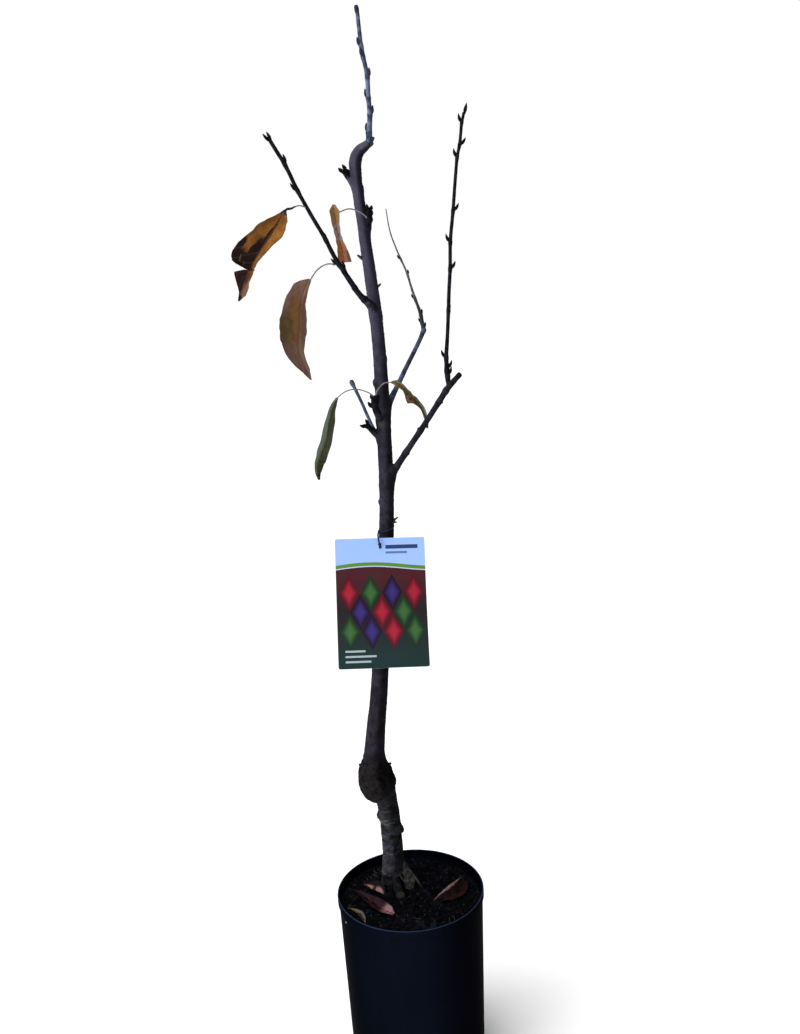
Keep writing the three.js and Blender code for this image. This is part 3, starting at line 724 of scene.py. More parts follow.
SWELLINGS = [
    [[-24, 28, 344, 18], [-14, 24, 338.5, 16], [-10.4, 23, 336.5, 12.5]],
    [[-26, 25, 353, 18], [-33.4, 23, 360, 14], [-35.8, 22, 361.5, 9]],
    [[-2, 12, 800, 14], [1, 11, 818, 15], [5, 8.6, 834, 13]],
    [[0, 6.5, 976, 10], [4.4, 6, 980, 8], [7, 5.4, 983.4, 4]],
    [[-2, 8, 948, 10], [-6, 8, 952, 8], [-8.6, 8, 955, 4]],
    [[-5, 13, 799, 8], [-9, 13, 801, 5], [-11.6, 13, 803, 2.4]],
]
print("stem of", len(STEM), "stations with", len(ROOTS), "roots and", len(SWELLINGS), "swellings")

# %% [markdown]
# What a small tree meets in its first years stays on its bark: pale scars where leaves and twigs
# fell, stubs of twigs that were cut or broken, and torn bark over a root that was sawn off.

# %% Marks on the stem
# Pale scars on the bark: where, how wide and how strong
SCARS = [
    [-9.7, -6, 1139.3, 2, 1], [-3.9, -5, 1147, 1.6, 1], [4.3, -1, 985, 2, 1],
    [-5.9, -8, 1227.9, 2.8, 0.9], [-0.4, -7, 1229.9, 2.2, 0.8], [-1.7, 0, 902.5, 6.5, 0.42],
    [-1.2, 1, 919, 5, 0.45],
]
# A strip of torn bark over the front root: its left and right edges from top to bottom
FLAP = [
    [[-9.4, 28.5, 284.9], [-6.4, 28.5, 284.7]], [[-9.3, 26, 275.5], [-0.8, 26, 274.9]],
    [[-8.7, 22, 266.7], [4, 22, 266.7]], [[-8.1, 18, 258.3], [6.8, 18, 259.6]],
    [[-7.6, 14.5, 250], [4.1, 14.5, 250.3]],
]
SPLINTERS = [
    [[-0.4, 25, 272.5, 2.4], [6, 20.3, 265.5, 3], [11, 16, 259.1, 2.6], [15.8, 12.5, 252.4, 1.2]],
    [[-14.2, 18, 270.6, 1.6], [-10.4, 15.2, 265, 2.4], [-7.9, 13, 260.6, 1]],
    [[-44, 44, 249, 1.5], [-48, 42, 258, 2.2], [-50, 42, 265, 0.8]],
    [[-42, 42, 249, 1.5], [-46, 40, 256, 1.8], [-52, 40, 259, 0.7]],
]
STUBS = [
    [[-3, 12, 774, 5], [3.5, 11, 776.5, 4.4], [7.5, 10, 779, 3], [11.3, 8.5, 782, 1.6]],
    [[-3, 12, 774, 5], [3.5, 9.5, 775.5, 3.6], [9.5, 7.5, 776, 1.8]],
    [[-11, 3, 1101, 4.5], [-15.5, 1, 1104, 4], [-19, -1, 1107, 2]],
    [[-3, 6, 1067, 4.5], [3.6, 5, 1069.5, 3.6], [6.8, 4.4, 1072, 1.8]],
    [[-50, 18, 431, 7], [-55.6, 17.6, 436.5, 5.4], [-59.4, 17, 440.5, 2.6]],
    [[-28, 19, 429, 8], [-21.4, 19, 434.4, 6], [-16.8, 19, 439, 2.8]],
    [[1.4, -2, 1231, 5], [5.4, -2, 1234.4, 4.6], [8.4, -2, 1238.4, 3]],
    [[2, -2, 1229, 5], [5.6, -2.4, 1231, 4], [7.4, -2.6, 1232.4, 2]],
]
print(len(SCARS), "scars,", len(SPLINTERS), "splinters and", len(STUBS), "stubs")

# %% [markdown]
# The boughs and spurs have tables of their own. Their first stations lie inside the stem, because
# the stem's surface is blended with them there.

# %% Bough and spur tables
BOUGHS = {
    "bough_left_upper": [
        [-1.5, 6, 1033, 12], [-5.5, -4, 1046, 11], [-18.6, -12, 1061, 7], [-32.2, -22, 1084, 6.3],
    ],
    "bough_right_lower": [
        [-0.5, 13, 824, 13], [6, 8, 837, 11.6], [17.4, 0, 854.5, 8.2], [33.4, -12, 879, 7.4],
        [48.4, -24, 902, 7], [67.8, -38, 932.5, 7], [77.9, -47, 949, 7.6],
    ],
    "bough_right_upper": [
        [-0.5, 11, 905, 16], [3.2, 14, 915.5, 13], [8.5, 18, 926.7, 9.4], [17.2, 24, 941, 6.5],
        [33.2, 42, 967.5, 5.8], [50.2, 60, 995, 5.4], [57.8, 70, 1009.5, 6.2],
    ],
    "bough_left_lower": [
        [-1, 12, 874, 8], [-6.7, 14, 882, 6.4], [-15.6, 22, 901, 4.2], [-26.1, 36, 926, 4],
        [-34, 47, 943, 4.2], [-36, 49, 947.3, 6], [-37.4, 50.5, 950.6, 6], [-38, 51, 952.8, 3.4],
    ],
}
SPURS = {
    "spur_front": [
        [-0.5, 9, 902, 11], [-3.2, 1, 909, 9], [-6.6, -4, 917.5, 8.6], [-8.6, -7, 926, 8.6],
        [-8.4, -9, 933, 10], [-8.2, -9.5, 937, 9],
    ],
    "spur_right": [
        [-9, 2.6, 1127, 9], [-5, 0.6, 1138, 8.6], [-2.8, -0.6, 1150, 8], [-2.4, -1, 1159, 7],
    ],
    "spur_top_left": [
        [-13, 1, 1181, 9], [-19.5, -2, 1190, 8.6], [-24, -5, 1197, 8], [-28.6, -8, 1203.5, 7],
    ],
    "spur_left_lower": [[-1, 10, 882, 9.5], [-10, 4, 890.5, 8], [-17, 2, 899, 7], [-21, 1, 903, 7.6]],
}

print(len(BOUGHS), "boughs and", len(SPURS), "spurs")

# %% [markdown]
# The distance to a limb is the distance to the nearest of its tapering pieces. The smaller of two
# distances would leave a sharp crease where limbs meet. A blend of the two takes a little more off
# near the crease, and that is the fillet.

# %% Blended distances


def distance_to(stations, points):
    """How far points are outside a limb, in millimetres: the nearest of its tapering pieces."""
    shares = np.linspace(0, 1, 2 * len(stations) - 1)
    fine = path_at(stations, shares)
    radius = widths(stations, shares) / 2
    nearest = np.full(len(points), 1e9)
    for a, b, ra, rb in zip(fine[:-1], fine[1:], radius[:-1], radius[1:]):
        share = np.clip((points - a) @ (b - a) / ((b - a) @ (b - a)), 0, 1)
        away = np.linalg.norm(points - a - share[:, None] * (b - a), axis=1)
        nearest = np.minimum(nearest, away - ra - (rb - ra) * share)
    return nearest


def blend(first, second, fillet):
    share = np.clip(0.5 + 0.5 * (second - first) / fillet, 0, 1)
    return second + (first - second) * share - fillet * share * (1 - share)


def ease(value, low, high):
    share = np.clip((value - low) / (high - low), 0, 1)
    return share * share * (3 - 2 * share)


print("two surfaces at 1 mm blend to", float(blend(1.0, 1.0, 4)), "mm with a fillet of 4")

# %% [markdown]
# Each ray starts on the stem's middle line. It takes steps as long as its distance from every part,
# so it slows down near the surface and never passes it. Starting well outside finds the knob and
# the roots, which stand far out. The boughs are looked for close to the stem only.

# %% Stem surface
# Parts that run into the stem, each with its fillet and how far out it is looked for, in millimetres
RUN_INS = (
    [(KNOB, 2, 45)]
    + [(root, 6, 45) for root in ROOTS]
    + [(CUT_ROOT[:3], 4, 45)]
    + [(swelling, 3, 2.5) for swelling in SWELLINGS]
    + [(limb_stations[:3], 5, 2.5) for limb_stations in [*BOUGHS.values(), *SPURS.values()]]
)
RAY_STEPS = 24


def stem_surface(middle, outward, radius):
    """The radius at which a ray from the middle line has left every part that starts near it."""
    reach = radius.copy()
    near = []
    for stations, _, start in RUN_INS:
        heights = [station[2] for station in stations]
        low, high = min(heights) - 12 - start / 2, max(heights) + 12 + start / 2
        rays = ((middle[:, 2] > low) & (middle[:, 2] < high)).nonzero()[0]
        near.append(rays)
        reach[rays] = np.maximum(reach[rays], radius[rays] + start)
    for _ in range(RAY_STEPS):
        outside = reach - radius
        for (stations, fillet, _), rays in zip(RUN_INS, near):
            points = middle[rays] + outward[rays] * reach[rays, None]
            outside[rays] = blend(outside[rays], distance_to(stations, points), fillet)
        reach = np.maximum(reach - outside, radius * 0.8)
    return reach


print(len(RUN_INS), "parts run into the stem")

# %% [markdown]
# The bark's relief is worked out together with its marks. The graft knob is lumpy, cracked and
# pitted, the rootstock under it has flaking bands, and the scion above has the low lips of its
# breathing pores. A crease runs under the knob where it overhangs, and the crease and the pits
# are darkened with painted shade.

# %% Stem relief
# A ring round a cut twig: where, and how wide
NUB_RING = [-12, 22, 337, 5]
# Flaking bands round the rootstock: height, width and strength
FLAKE_BANDS = [(354, 4.5, 1), (305, 3.5, 1), (330, 3, 0.4)]
# Pits in the knob: where, and how wide
PITS = [[-45.5, -2, 446.6, 3.2], [-57.6, 4, 423.8, 3.4], [-30.7, -3, 425.8, 2.8], [-40, -6, 409, 2.4]]


def stem_relief(points, grain, height):
    """Bark relief in millimetres, and marks on it: pale flakes, cracks with painted shade in the crease and
    pits, and old rough bark.
    """
    knob = 1 - ease(distance_to(KNOB, points), 0.6, 3.5)
    on_knob = knob * ease(height, 384, 394) * (1 - ease(height, 440, 464))
    under = 390 + 15 * ease(points[:, 0], -46, -13)
    crease = bump_at(height, under, 1.5) * (height < 412)
    on_knob = on_knob * ease(height, under - 3, under + 5)
    rootstock = 1 - ease(height, 378, 400)
    skin = cloud(grain, (0.12, 0.12, 0.05), 4, 1)
    fine = cloud(grain, (0.5, 0.5, 0.34), 3, 2)
    crack = np.clip(1 - 7 * np.abs(cloud(grain, (0.07, 0.07, 0.09), 4, 3)), 0, 1)
    pit = np.zeros(len(points))
    for *centre, size in PITS:
        pit = np.maximum(pit, bump_at(np.linalg.norm(points - centre, axis=1), 0, size))
    flake = ease(cloud(grain, (0.06, 0.06, 0.2), 3, 4), 0.08, 0.18)
    wander = height + 9 * cloud(grain, (0.03, 0.03, 0.02), 2, 8)
    bands = sum(strength * bump_at(wander, middle, width) for middle, width, strength in FLAKE_BANDS)
    patch = cloud(grain, (0.08, 0.08, 0.13), 4, 14)
    lips = ease(cloud(grain, (0.22, 0.22, 1.1), 1, 5), 0.26, 0.5) * (1 - rootstock) * (1 - on_knob)
    relief = 0.35 * skin + 0.16 * fine + 0.25 * lips - 0.7 * crease
    lumps = 2.2 * cloud(grain, (0.05, 0.05, 0.06), 3, 6)
    relief += on_knob * (lumps - 0.9 * crack + 0.35 * fine - 2.2 * pit)
    relief += rootstock * (0.3 * flake * (0.4 + bands) - 0.5 * crack + 0.45 * fine)
    pale = rootstock * (flake * np.clip(0.1 + bands, 0, 1) * 0.8 + 0.17 * ease(patch, 0.02, 0.3))
    ring = np.linalg.norm(points - NUB_RING[:3], axis=1)
    pale = np.maximum(pale, 0.4 * bump_at(ring, NUB_RING[3], 0.9))
    relief += 0.6 * bump_at(ring, NUB_RING[3], 1.2)
    for *centre, size, strength in SCARS:
        pale = np.maximum(pale, strength * bump_at(np.linalg.norm(points - centre, axis=1), 0, size))
    buttress = 1 - ease(distance_to(ROOTS[0], points), 0, 3)
    worn = ease(cloud(grain, (0.14, 0.14, 0.06), 3, 7), -0.2, 0.15)
    worn = worn * ease(points[:, 0], -9, -5) * ease(height, 249, 254)
    pale = np.maximum(pale, buttress * worn * 0.5)
    # Dark marks: cracks, and painted shade in the crease under the knob and in its pits.
    dark = crack * (0.5 * on_knob + 0.5 * rootstock) - 0.35 * skin + 0.5 * crease + pit
    dark += 0.3 * rootstock * ease(-patch, 0.05, 0.35)
    dark = np.clip(dark, 0, 1)
    old = on_knob * (0.82 + 0.3 * fine) + 0.35 * rootstock * ease(height, 352, 366)
    return relief, np.stack([pale, dark, np.clip(old, 0, 1)], axis=1)


print("relief with", len(FLAKE_BANDS), "flaking bands and", len(PITS), "pits")

# %% [markdown]
# The flap of torn bark is a grid stretched between two edges, bowed, frayed at its lower end and
# then thickened. A cut end needs only another finish on the flat face of the limb.

# %% Torn and cut bark


def cut_end(bm, verts):
    """Gives the flat face at a limb's far end the look of cut wood."""
    for face in {f for v in verts for f in v.link_faces if len(f.verts) > 4}:
        face.material_index = 1


def torn_flap(bm, rows, bow=2.2, thickness=2.4):
    """A ragged strip between two edges, bowed outwards and then thickened."""
    flap = bmesh.ops.create_grid(bm, x_segments=16, y_segments=26, size=0.5)["verts"]
    flat = np.array([v.co for v in flap])
    across, down = flat[:, 0] + 0.5, 0.5 - flat[:, 1]
    sides = [path_at([row[k] for row in rows], down) for k in (0, 1)]
    points = sides[0] + (sides[1] - sides[0]) * across[:, None]
    ragged = cloud(np.stack([across * 9, down * 3, across * 0], axis=1), 1, 3, 12)
    points[:, 1] -= bow * np.sin(np.pi * across) + 1.4 * cloud(points, (0.3, 0.3, 0.12), 3, 13)
    points[:, 2] -= 2.6 * ragged * down**4
    settle(bm, flap, points, points)
    faces = list({f for v in flap for f in v.link_faces})
    made = bmesh.ops.solidify(bm, geom=faces, thickness=thickness * MM)["geom"]
    for face in {*faces, *(f for f in made if isinstance(f, bmesh.types.BMFace))}:
        face.material_index = 2


print("the flap of torn bark is", round(FLAP[0][0][2] - FLAP[-1][0][2], 1), "mm long")

# %% [markdown]
# Now the stem is made. Its rings stand closer at the foot, where the roots and the rootstock's bark
# need them, so a quarter of the length takes two fifths of the rings.

# %% Stem
STEM_SIDES = 112
STEM_RINGS = 720
# The share of the rings that the foot takes, and the share of the length that it is
FOOT_SHARE = (0.4, 0.25)

stem_bm = bmesh.new()
grain_layer(stem_bm)
wear_and_shade_layer = stem_bm.verts.layers.float_vector.new("wear_and_shade")
stem_verts = cylinder(stem_bm, STEM_SIDES, STEM_RINGS)
straight = np.array([v.co for v in stem_verts])
ring_share = np.interp(straight[:, 2] + 0.5, [0, FOOT_SHARE[0], 1], [0, FOOT_SHARE[1], 1])
stem_along, stem_length = even_steps(STEM, ring_share)
middle = path_at(STEM, stem_along)
_, front, side = frame_at(STEM, stem_along)
outward = side * straight[:, :1] + front * straight[:, 1:2]
radius = stem_surface(middle, outward, widths(STEM, stem_along) / 2)
grain = np.stack(
    [straight[:, 0] * radius, straight[:, 1] * radius, ring_share * stem_length], axis=1
)
surface = middle + outward * radius[:, None]
relief, wear_and_shade = stem_relief(surface, grain, surface[:, 2])
surface += outward * relief[:, None]
settle(stem_bm, stem_verts, surface, grain)
for v, worn in zip(stem_verts, wear_and_shade):
    v[wear_and_shade_layer] = worn
for face in stem_bm.faces:
    face.smooth = len(face.verts) == 4
print("stem:", len(stem_verts), "points, widest", round(radius.max(), 1), "mm from its middle line")

# %% [markdown]
# The stubs, the torn bark, the sawn root and the splinters join the stem's mesh, so that the whole
# stem stands for the solid trunk as one piece.

# %% Stubs and torn bark on the stem
for stub in STUBS:
    limb(stem_bm, stub, 10, 12)
torn_flap(stem_bm, FLAP)
cut_end(stem_bm, limb(stem_bm, CUT_ROOT, 40, 40, swellings([0.9], 0.6, 0.08)))
for splinter in SPLINTERS:
    limb(stem_bm, splinter, 6, 10, material=2)
piece(stem_bm, "trunk_bark", [STEM_BARK, CUT_WOOD, TORN_BARK], ["trunk"])

# %% [markdown]
# ## Boughs, spurs and shoots
# The boughs were pruned, so each ends in a stub. Each is one limb with a ring every 0.7 mm, thick
# enough to carry a swelling and a resting bud at each node.

# %% Boughs
BOUGH_RING_STEP = 0.7
# Nodes on each bough, as shares of its length
BOUGH_NODES = {
    "bough_left_upper": [0.55, 0.8],
    "bough_right_lower": [0.42, 0.62, 0.84, 0.97],
    "bough_right_upper": [0.97],
    "bough_left_lower": [],
}
GREY_BOUGHS = ("bough_left_lower", "bough_right_upper")
for name, stations in BOUGHS.items():
    bough_bm = bmesh.new()
    bough_length = even_steps(stations, np.array([1.0]))[1]
    bough_rings = int(bough_length / BOUGH_RING_STEP)
    limb(bough_bm, stations, 36, bough_rings, swellings(BOUGH_NODES[name], 0.45, 0.03))
    for k, place in enumerate(BOUGH_NODES[name][:-1]):
        bud(bough_bm, stations, place, 180 * (k % 2) + 20, 3.6, 3.4, 50)
    bark = GREY_BARK if name in GREY_BOUGHS else BOUGH_BARK
    piece(bough_bm, name.replace("bough", "bark"), [bark, BUD_SCALES], [name])

# %% [markdown]
# A spur is where the flowers come from: a few centimetres of ringed wood with a cluster of fat buds
# at its end. Each bud has its own place, size and lean, because a row of equal buds looks made.

# %% Spurs
# Buds on each spur: share of its length, compass angle, length, width and lean
SPUR_BUDS = {
    "spur_front": [
        (0.97, 190, 6.5, 5.6, 30), (0.97, 15, 6.5, 5.6, 26), (0.97, 100, 5, 7.6, 4),
        (0.8, 120, 7, 6, 30), (0.62, 182, 9, 6, 50),
    ],
    "spur_right": [
        (0.97, 0, 5, 5, 20), (0.95, 150, 7, 5.6, 4), (0.72, 20, 7, 5, 14), (0.5, 10, 7, 4.6, 12),
        (0.35, 90, 5, 4, 30),
    ],
    "spur_top_left": [
        (0.97, 190, 7, 5, 14), (0.97, 20, 7.5, 5, 6), (0.85, 110, 6.5, 5, 22), (0.75, 10, 6, 4.6, 16),
    ],
    "spur_left_lower": [
        (0.97, 185, 7.5, 4.8, 34), (0.97, 20, 7.5, 4.8, 28), (0.95, 100, 6.5, 4.4, 34),
    ],
}
for name, stations in SPURS.items():
    spur_bm = bmesh.new()
    spur(spur_bm, stations, SPUR_BUDS[name])
    piece(spur_bm, name + "_growth", [SHOOT_SKIN, BUD_SCALES], [name])

# %% [markdown]
# Thin shoots grew on from the pruned stubs and from the hooked top. They are what last summer added
# to the tree, so they are smooth, nearly straight, and have a bud every few centimetres.

# %% Shoot tables
LEFT_UPPER = [
    [-32.2, -22, 1084, 6.2], [-45.6, -32, 1109, 5.3], [-58, -43, 1137, 4.7],
    [-73.3, -56, 1167.5, 4.5], [-84.1, -67, 1194, 4.6], [-93.5, -78, 1215, 4.6],
    [-104.2, -88, 1236, 4.4],
]
RIGHT_STUB = [[77.9, -47, 949, 7.4], [86.2, -53, 959, 6.8], [93.2, -58, 967, 5.8]]
RIGHT_LOWER = [
    [80.5, -49, 952, 6.6], [78.3, -45.5, 969, 5.8], [80.4, -42, 1000, 4.7], [84.8, -36, 1051, 4.4],
    [91.2, -28, 1124.5, 4.2], [99.6, -21, 1191, 3.9], [105, -18, 1222, 3.7],
    [109.2, -15, 1244.5, 3.6], [112.2, -13, 1259, 3.3],
]
RIGHT_UPPER = [
    [57, 70, 1009.5, 5.4], [53.8, 75, 1029, 4.4], [45.4, 83, 1058, 3], [38.4, 92, 1083, 2.5],
    [29.1, 100, 1108, 2], [20.5, 108, 1135, 1.6], [17.9, 117, 1158.8, 1.2],
]
LEADER = [
    [-1.6, -2, 1228, 7.6], [2.4, -2, 1235, 7.8], [3.6, -2.4, 1245, 6.8], [4.2, -3, 1253, 6.2],
    [5, -4, 1270, 5.5], [4.9, -5, 1290, 5.3], [3.6, -6.5, 1312, 5.1], [0.8, -8, 1330, 4.9],
    [-0.6, -9, 1352, 4.6], [-2.2, -10, 1371, 4.5], [-2.8, -10.4, 1376, 5], [-3.1, -10.6, 1379, 3.2],
]
RIGHT_LOWER_BUDS = [
    [966, 0], [974, 10], [986, 180], [1040, 80], [1087, 0], [1117, 180], [1152, 0], [1211, 180],
    [1224.5, 0], [1249, 180],
]
RIGHT_UPPER_BUDS = [[1012, 5], [1018, 180], [1028, 0], [1048, 180], [1077, 0], [1097, 180]]
LEFT_UPPER_BUDS = [[1211, 0], [1183, 185], [1128, 60], [1099, 190], [1092, 5]]
LEFT_UPPER_TIPS = [(180, 13, 9.5, 3.8), (0, 2, 9, 3.8)]
LEADER_SIDE_BUDS = [[1245, 190], [1264, 0], [1282, 185], [1304, 10], [1326, 120], [1337, 165]]
LEADER_TIP = [
    [-2.2, -10, 1369.5, 4], [-2.6, -10.2, 1373.5, 5.4], [-3, -10.5, 1376.8, 5.2],
    [-3.2, -10.6, 1379, 3.4],
]
print("the leader rises", round(LEADER[-1][2] - LEADER[0][2]), "mm above the hooked top")

# %% [markdown]
# Each shoot takes the table of its stations, its side buds, the size of a bud and its end buds. The
# leader ends in one blunt bud that is as wide as the shoot itself, so that is a limb of its own.

# %% Shoots
left_bm = bmesh.new()
shoot(left_bm, LEFT_UPPER, LEFT_UPPER_BUDS, (10.5, 4), LEFT_UPPER_TIPS, 17)
piece(left_bm, "left_shoot", [SHOOT_SKIN, BUD_SCALES], ["shoot_left_upper"])

right_bm = bmesh.new()
limb(right_bm, RIGHT_STUB, 24, 30, swellings([0.9], 0.3, 0.1))
shoot(right_bm, RIGHT_LOWER, RIGHT_LOWER_BUDS, (9.5, 4), [(0, 4, 11, 4.4)], 36)
piece(right_bm, "right_shoot", [SHOOT_SKIN, BUD_SCALES], ["shoot_right_lower"])

thin_bm = bmesh.new()
shoot(thin_bm, RIGHT_UPPER, RIGHT_UPPER_BUDS, (6.5, 3), [], 20, step=0.3)
piece(thin_bm, "thin_shoot", [THIN_SKIN, BUD_SCALES], ["shoot_right_upper"])

leader_bm = bmesh.new()
shoot(leader_bm, LEADER, LEADER_SIDE_BUDS, (9.5, 4.6), [], 14, sides=18)
limb(leader_bm, LEADER_TIP, 14, 16, material=1)
piece(leader_bm, "leader", [LEADER_SKIN, LEADER_BUDS], ["leader_shoot"])

# %% [markdown]
# ## The last leaves
# Five dead leaves still hang on, each dried into its own fold. A flat grid becomes a leaf in one
# step: its long way follows the rib, its short way leaves the rib at the fold's angle and curls on
# from there. Side veins stand up a little, the midrib is pressed in and noise crumples the blade.

# %% Leaf blade
VEINS = 11
VEIN_SLANT = 0.16


def half_blade(share, fold, curl):
    """Place on one half of a blade that leaves the rib at an angle and curls on from there."""
    turn = math.copysign(max(abs(curl), 1e-3), curl)
    angle = fold + turn * share
    return angle, (np.sin(angle) - np.sin(fold)) / turn, (np.cos(fold) - np.cos(angle)) / turn


def leaf_blade(
    bm, rib, fold, curl, facing=(0, 0), reference=TO_VIEWER, columns=90, rows=30,
    crumple=0.8, wavy=0.35, seed=0,
):
    """A blade on a curved rib of stations [x, y, z, span, span], its edges' stand-off each way."""
    made = bmesh.ops.create_grid(bm, x_segments=columns, y_segments=rows, size=1)
    verts = made["verts"]
    flat = np.array([v.co for v in verts])
    along = (flat[:, 0] + 1) / 2
    across = flat[:, 1]
    share = np.abs(across)
    left = read([station[3] for station in rib], along)
    right = read([station[4] for station in rib], along)
    span = np.where(across > 0, left, right)
    forward, front, _ = frame_at(rib, along, reference)
    turn = np.radians(read(facing, along))[:, None]
    normal = front * np.cos(turn) + np.cross(forward, front) * np.sin(turn)
    sideways = np.cross(forward, normal)
    lift = np.radians(read(fold, along))
    angle, off, up = half_blade(share, lift, math.radians(curl))
    scale = span / half_blade(1, lift, math.radians(curl))[1]
    points = path_at(rib, along)
    length = even_steps(rib, np.array([1.0]))[1]
    sheet = np.stack([along * length, across * span, np.full(len(along), seed * 31.0)], axis=1)
    scale = scale * (1 + 0.02 * wavy * np.sin(along * 60 + np.sign(across)) * share)
    points += sideways * (np.sign(across) * scale * off)[:, None]
    skin = -np.sin(angle)[:, None] * sideways * np.sign(across)[:, None] + np.cos(angle)[:, None] * normal
    points += normal * (scale * up)[:, None]
    phase = along * VEINS - share * VEIN_SLANT * VEINS * span.max() / length * 2
    vein = np.exp(-(((phase % 1) - 0.5) / 0.12) ** 2) * (1 - share**4)
    height = 0.35 * vein - 0.5 * bump_at(across, 0, 0.06)
    height += crumple * cloud(sheet, (0.09, 0.13, 1), 3, seed) * ease(share, 0, 0.4)
    height += wavy * np.sin(along * 34 + 2 * np.sign(across)) * share**2
    points += skin * (height * np.clip(span / 4, 0, 1))[:, None]
    uv = bm.loops.layers.uv.get("leaf") or bm.loops.layers.uv.new("leaf")
    place = {v: (a, 0.5 + 0.5 * c) for v, a, c in zip(verts, along, across)}
    for face in {f for v in verts for f in v.link_faces}:
        face.smooth = True
        for loop in face.loops:
            loop[uv].uv = place[loop.vert]
    for v, point in zip(verts, points * MM):
        v.co = point
    bm.normal_update()
    facing_out = sum(v.normal.dot(Vector(n)) for v, n in zip(verts, skin))
    if facing_out < 0:
        bmesh.ops.reverse_faces(bm, faces=bm.faces)
    return verts


print("a leaf has", VEINS, "pairs of side veins")

# %% [markdown]
# A dead leaf is thin but not without thickness, and its back is duller than its face. A Solidify
# modifier gives both, with the back in the second of the two finishes.

# %% Leaf piece
LEAF_THICKNESS = 0.4


def leaf_piece(bm, name, finishes, nodes, thickness=LEAF_THICKNESS):
    made = piece(bm, name, finishes, nodes, open_sheet=True)
    skin = made.modifiers.new("thickness", "SOLIDIFY")
    skin.thickness = thickness * MM
    skin.offset = 0
    skin.material_offset = 1
    return made


print("leaf blades are", LEAF_THICKNESS, "mm thick unless told otherwise")

# %% [markdown]
# Dead leaves rot from spots and edges inwards, so a finish starts with two mottled tones, darkens
# the rim and then lays spots over it. Each spot is an ellipse on the leaf's own flat map, with its
# edge made uneven by noise. The veins are drawn last, on the same slant as in the blade.

# %% Leaf finish
SPOT_EDGE = 0.92


def leaf_finish(name, light, dark, rim, vein, spots, streak=0.35, shine=0.08, soft=0.35):
    """A dead leaf: two tones in mottles, a rim tone, pale veins and spots [u, v, ru, rv, tone]."""
    finish = Finish(name, 0.6, shine)
    uv = finish.place("UV")
    object_place = finish.place()
    parts = finish.split(uv)
    u, v = parts["X"], parts["Y"]
    rough_edge = finish.noise(object_place, 190, 4)
    shift = finish.math("MULTIPLY_ADD", rough_edge, 0.8, -0.4)
    colour = finish.ramp(finish.noise(object_place, 75, 5), [(0.36, dark), (0.64, light)], True)
    away = finish.math("ABSOLUTE", finish.math("MULTIPLY_ADD", v, 2, -1))
    edge = finish.band(finish.math("ADD", away, finish.times(shift, 0.4)), 0.78, 1.02)
    colour = finish.cover(colour, rim, edge, 0.8)
    for at_u, at_v, wide_u, wide_v, spot in spots:
        du = finish.math("DIVIDE", finish.math("SUBTRACT", u, at_u), wide_u)
        dv = finish.math("DIVIDE", finish.math("SUBTRACT", v, at_v), wide_v)
        far = finish.math("ADD", finish.far(du, dv), finish.times(shift, 0.9))
        mask = finish.band(far, SPOT_EDGE + soft / 2, SPOT_EDGE - soft / 2)
        colour = finish.mix(mask, colour, spot)
    slanted = finish.math("MULTIPLY_ADD", away, -VEIN_SLANT * VEINS, finish.times(u, VEINS))
    saw = finish.math("ABSOLUTE", finish.math("SUBTRACT", finish.math("FRACT", slanted), 0.5))
    line = finish.band(saw, 0.09, 0.02)
    midrib = finish.band(away, 0.07, 0.02)
    lines = finish.math("MAXIMUM", finish.times(line, streak), midrib)
    colour = finish.cover(colour, vein, lines, 0.7)
    finish.bump(finish.noise(object_place, 1300, 3), 0.0003, 0.5)
    finish.rough(rough_edge, 0.45, 0.75)
    return finish.colour(colour)


def underside(name, dark, light):
    """The dull back of a leaf, a little paler and plainer than its face."""
    finish = Finish(name, 0.75, 0.05)
    return finish.colour(finish.ramp(finish.noise(finish.place(), 90, 4), [(0.35, dark), (0.7, light)]))


BROWN_BACK = underside("brown_leaf_back", tone(76, 54, 42), tone(112, 82, 62))
GREEN_BACK = underside("green_leaf_back", tone(62, 64, 48), tone(92, 94, 74))
print("leaf backs:", BROWN_BACK.name, "and", GREEN_BACK.name)

# %% [markdown]
# The hanging leaves differ in shape more than in size: the gold one is rolled, the brown one is cut
# short by its fold, the green and olive ones are folded nearly shut and the rust one is cupped.

# %% Hanging leaf shapes
# Ribs are [x, y, z, left span, right span] in millimetres, from the stalk to the tip
GOLD = {
    "rib": [
        [-95.7, -58, 1162.2, 1, 1.6], [-101, -58.7, 1154.4, 5.4, 9.1],
        [-106.4, -59.3, 1146.6, 11.4, 11.9], [-112.1, -60, 1139, 16.7, 12.2],
        [-117.7, -60.7, 1131.4, 18.3, 9.7], [-128.6, -62, 1115.8, 25.5, 5.3],
        [-134, -62, 1107.8, 26.6, 3.3], [-137.4, -62, 1102, 24.5, 3.3], [-138.2, -62, 1100.6, 22.5, 3.3],
        [-138.9, -62, 1099.2, 17, 3.4], [-139.4, -62, 1098.2, 9, 3.4], [-139.8, -62, 1097.4, 3.9, 3.4],
        [-143.3, -62, 1091, 15.5, 4.2], [-147.6, -60.7, 1082.2, 9.5, 5.6],
        [-152.1, -59.3, 1073.5, 2.9, 5.9], [-156.7, -58, 1064.8, 0.6, 1],
    ],
    "fold": [8, 8], "curl": 30,
}
BROWN = {
    "rib": [
        [-73.9, -41, 1083.3, 2.5, 1], [-81.1, -41.4, 1073.7, 12.9, 5.1],
        [-85.4, -41.8, 1062.4, 17.4, 5], [-88, -42, 1050.6, 19.8, 6.4], [-89.3, -42, 1038.6, 22.4, 8.4],
        [-90.9, -42, 1026.6, 22.7, 8.7], [-92.9, -42, 1014.5, 20.3, 8.2], [-93.5, -42, 1002.3, 15.3, 6.2],
        [-86.3, -40.8, 978.8, 4.9, 4.3], [-81.5, -40, 967.4, 0.6, 0.6],
    ],
    "fold": [8, 8], "curl": 30,
}
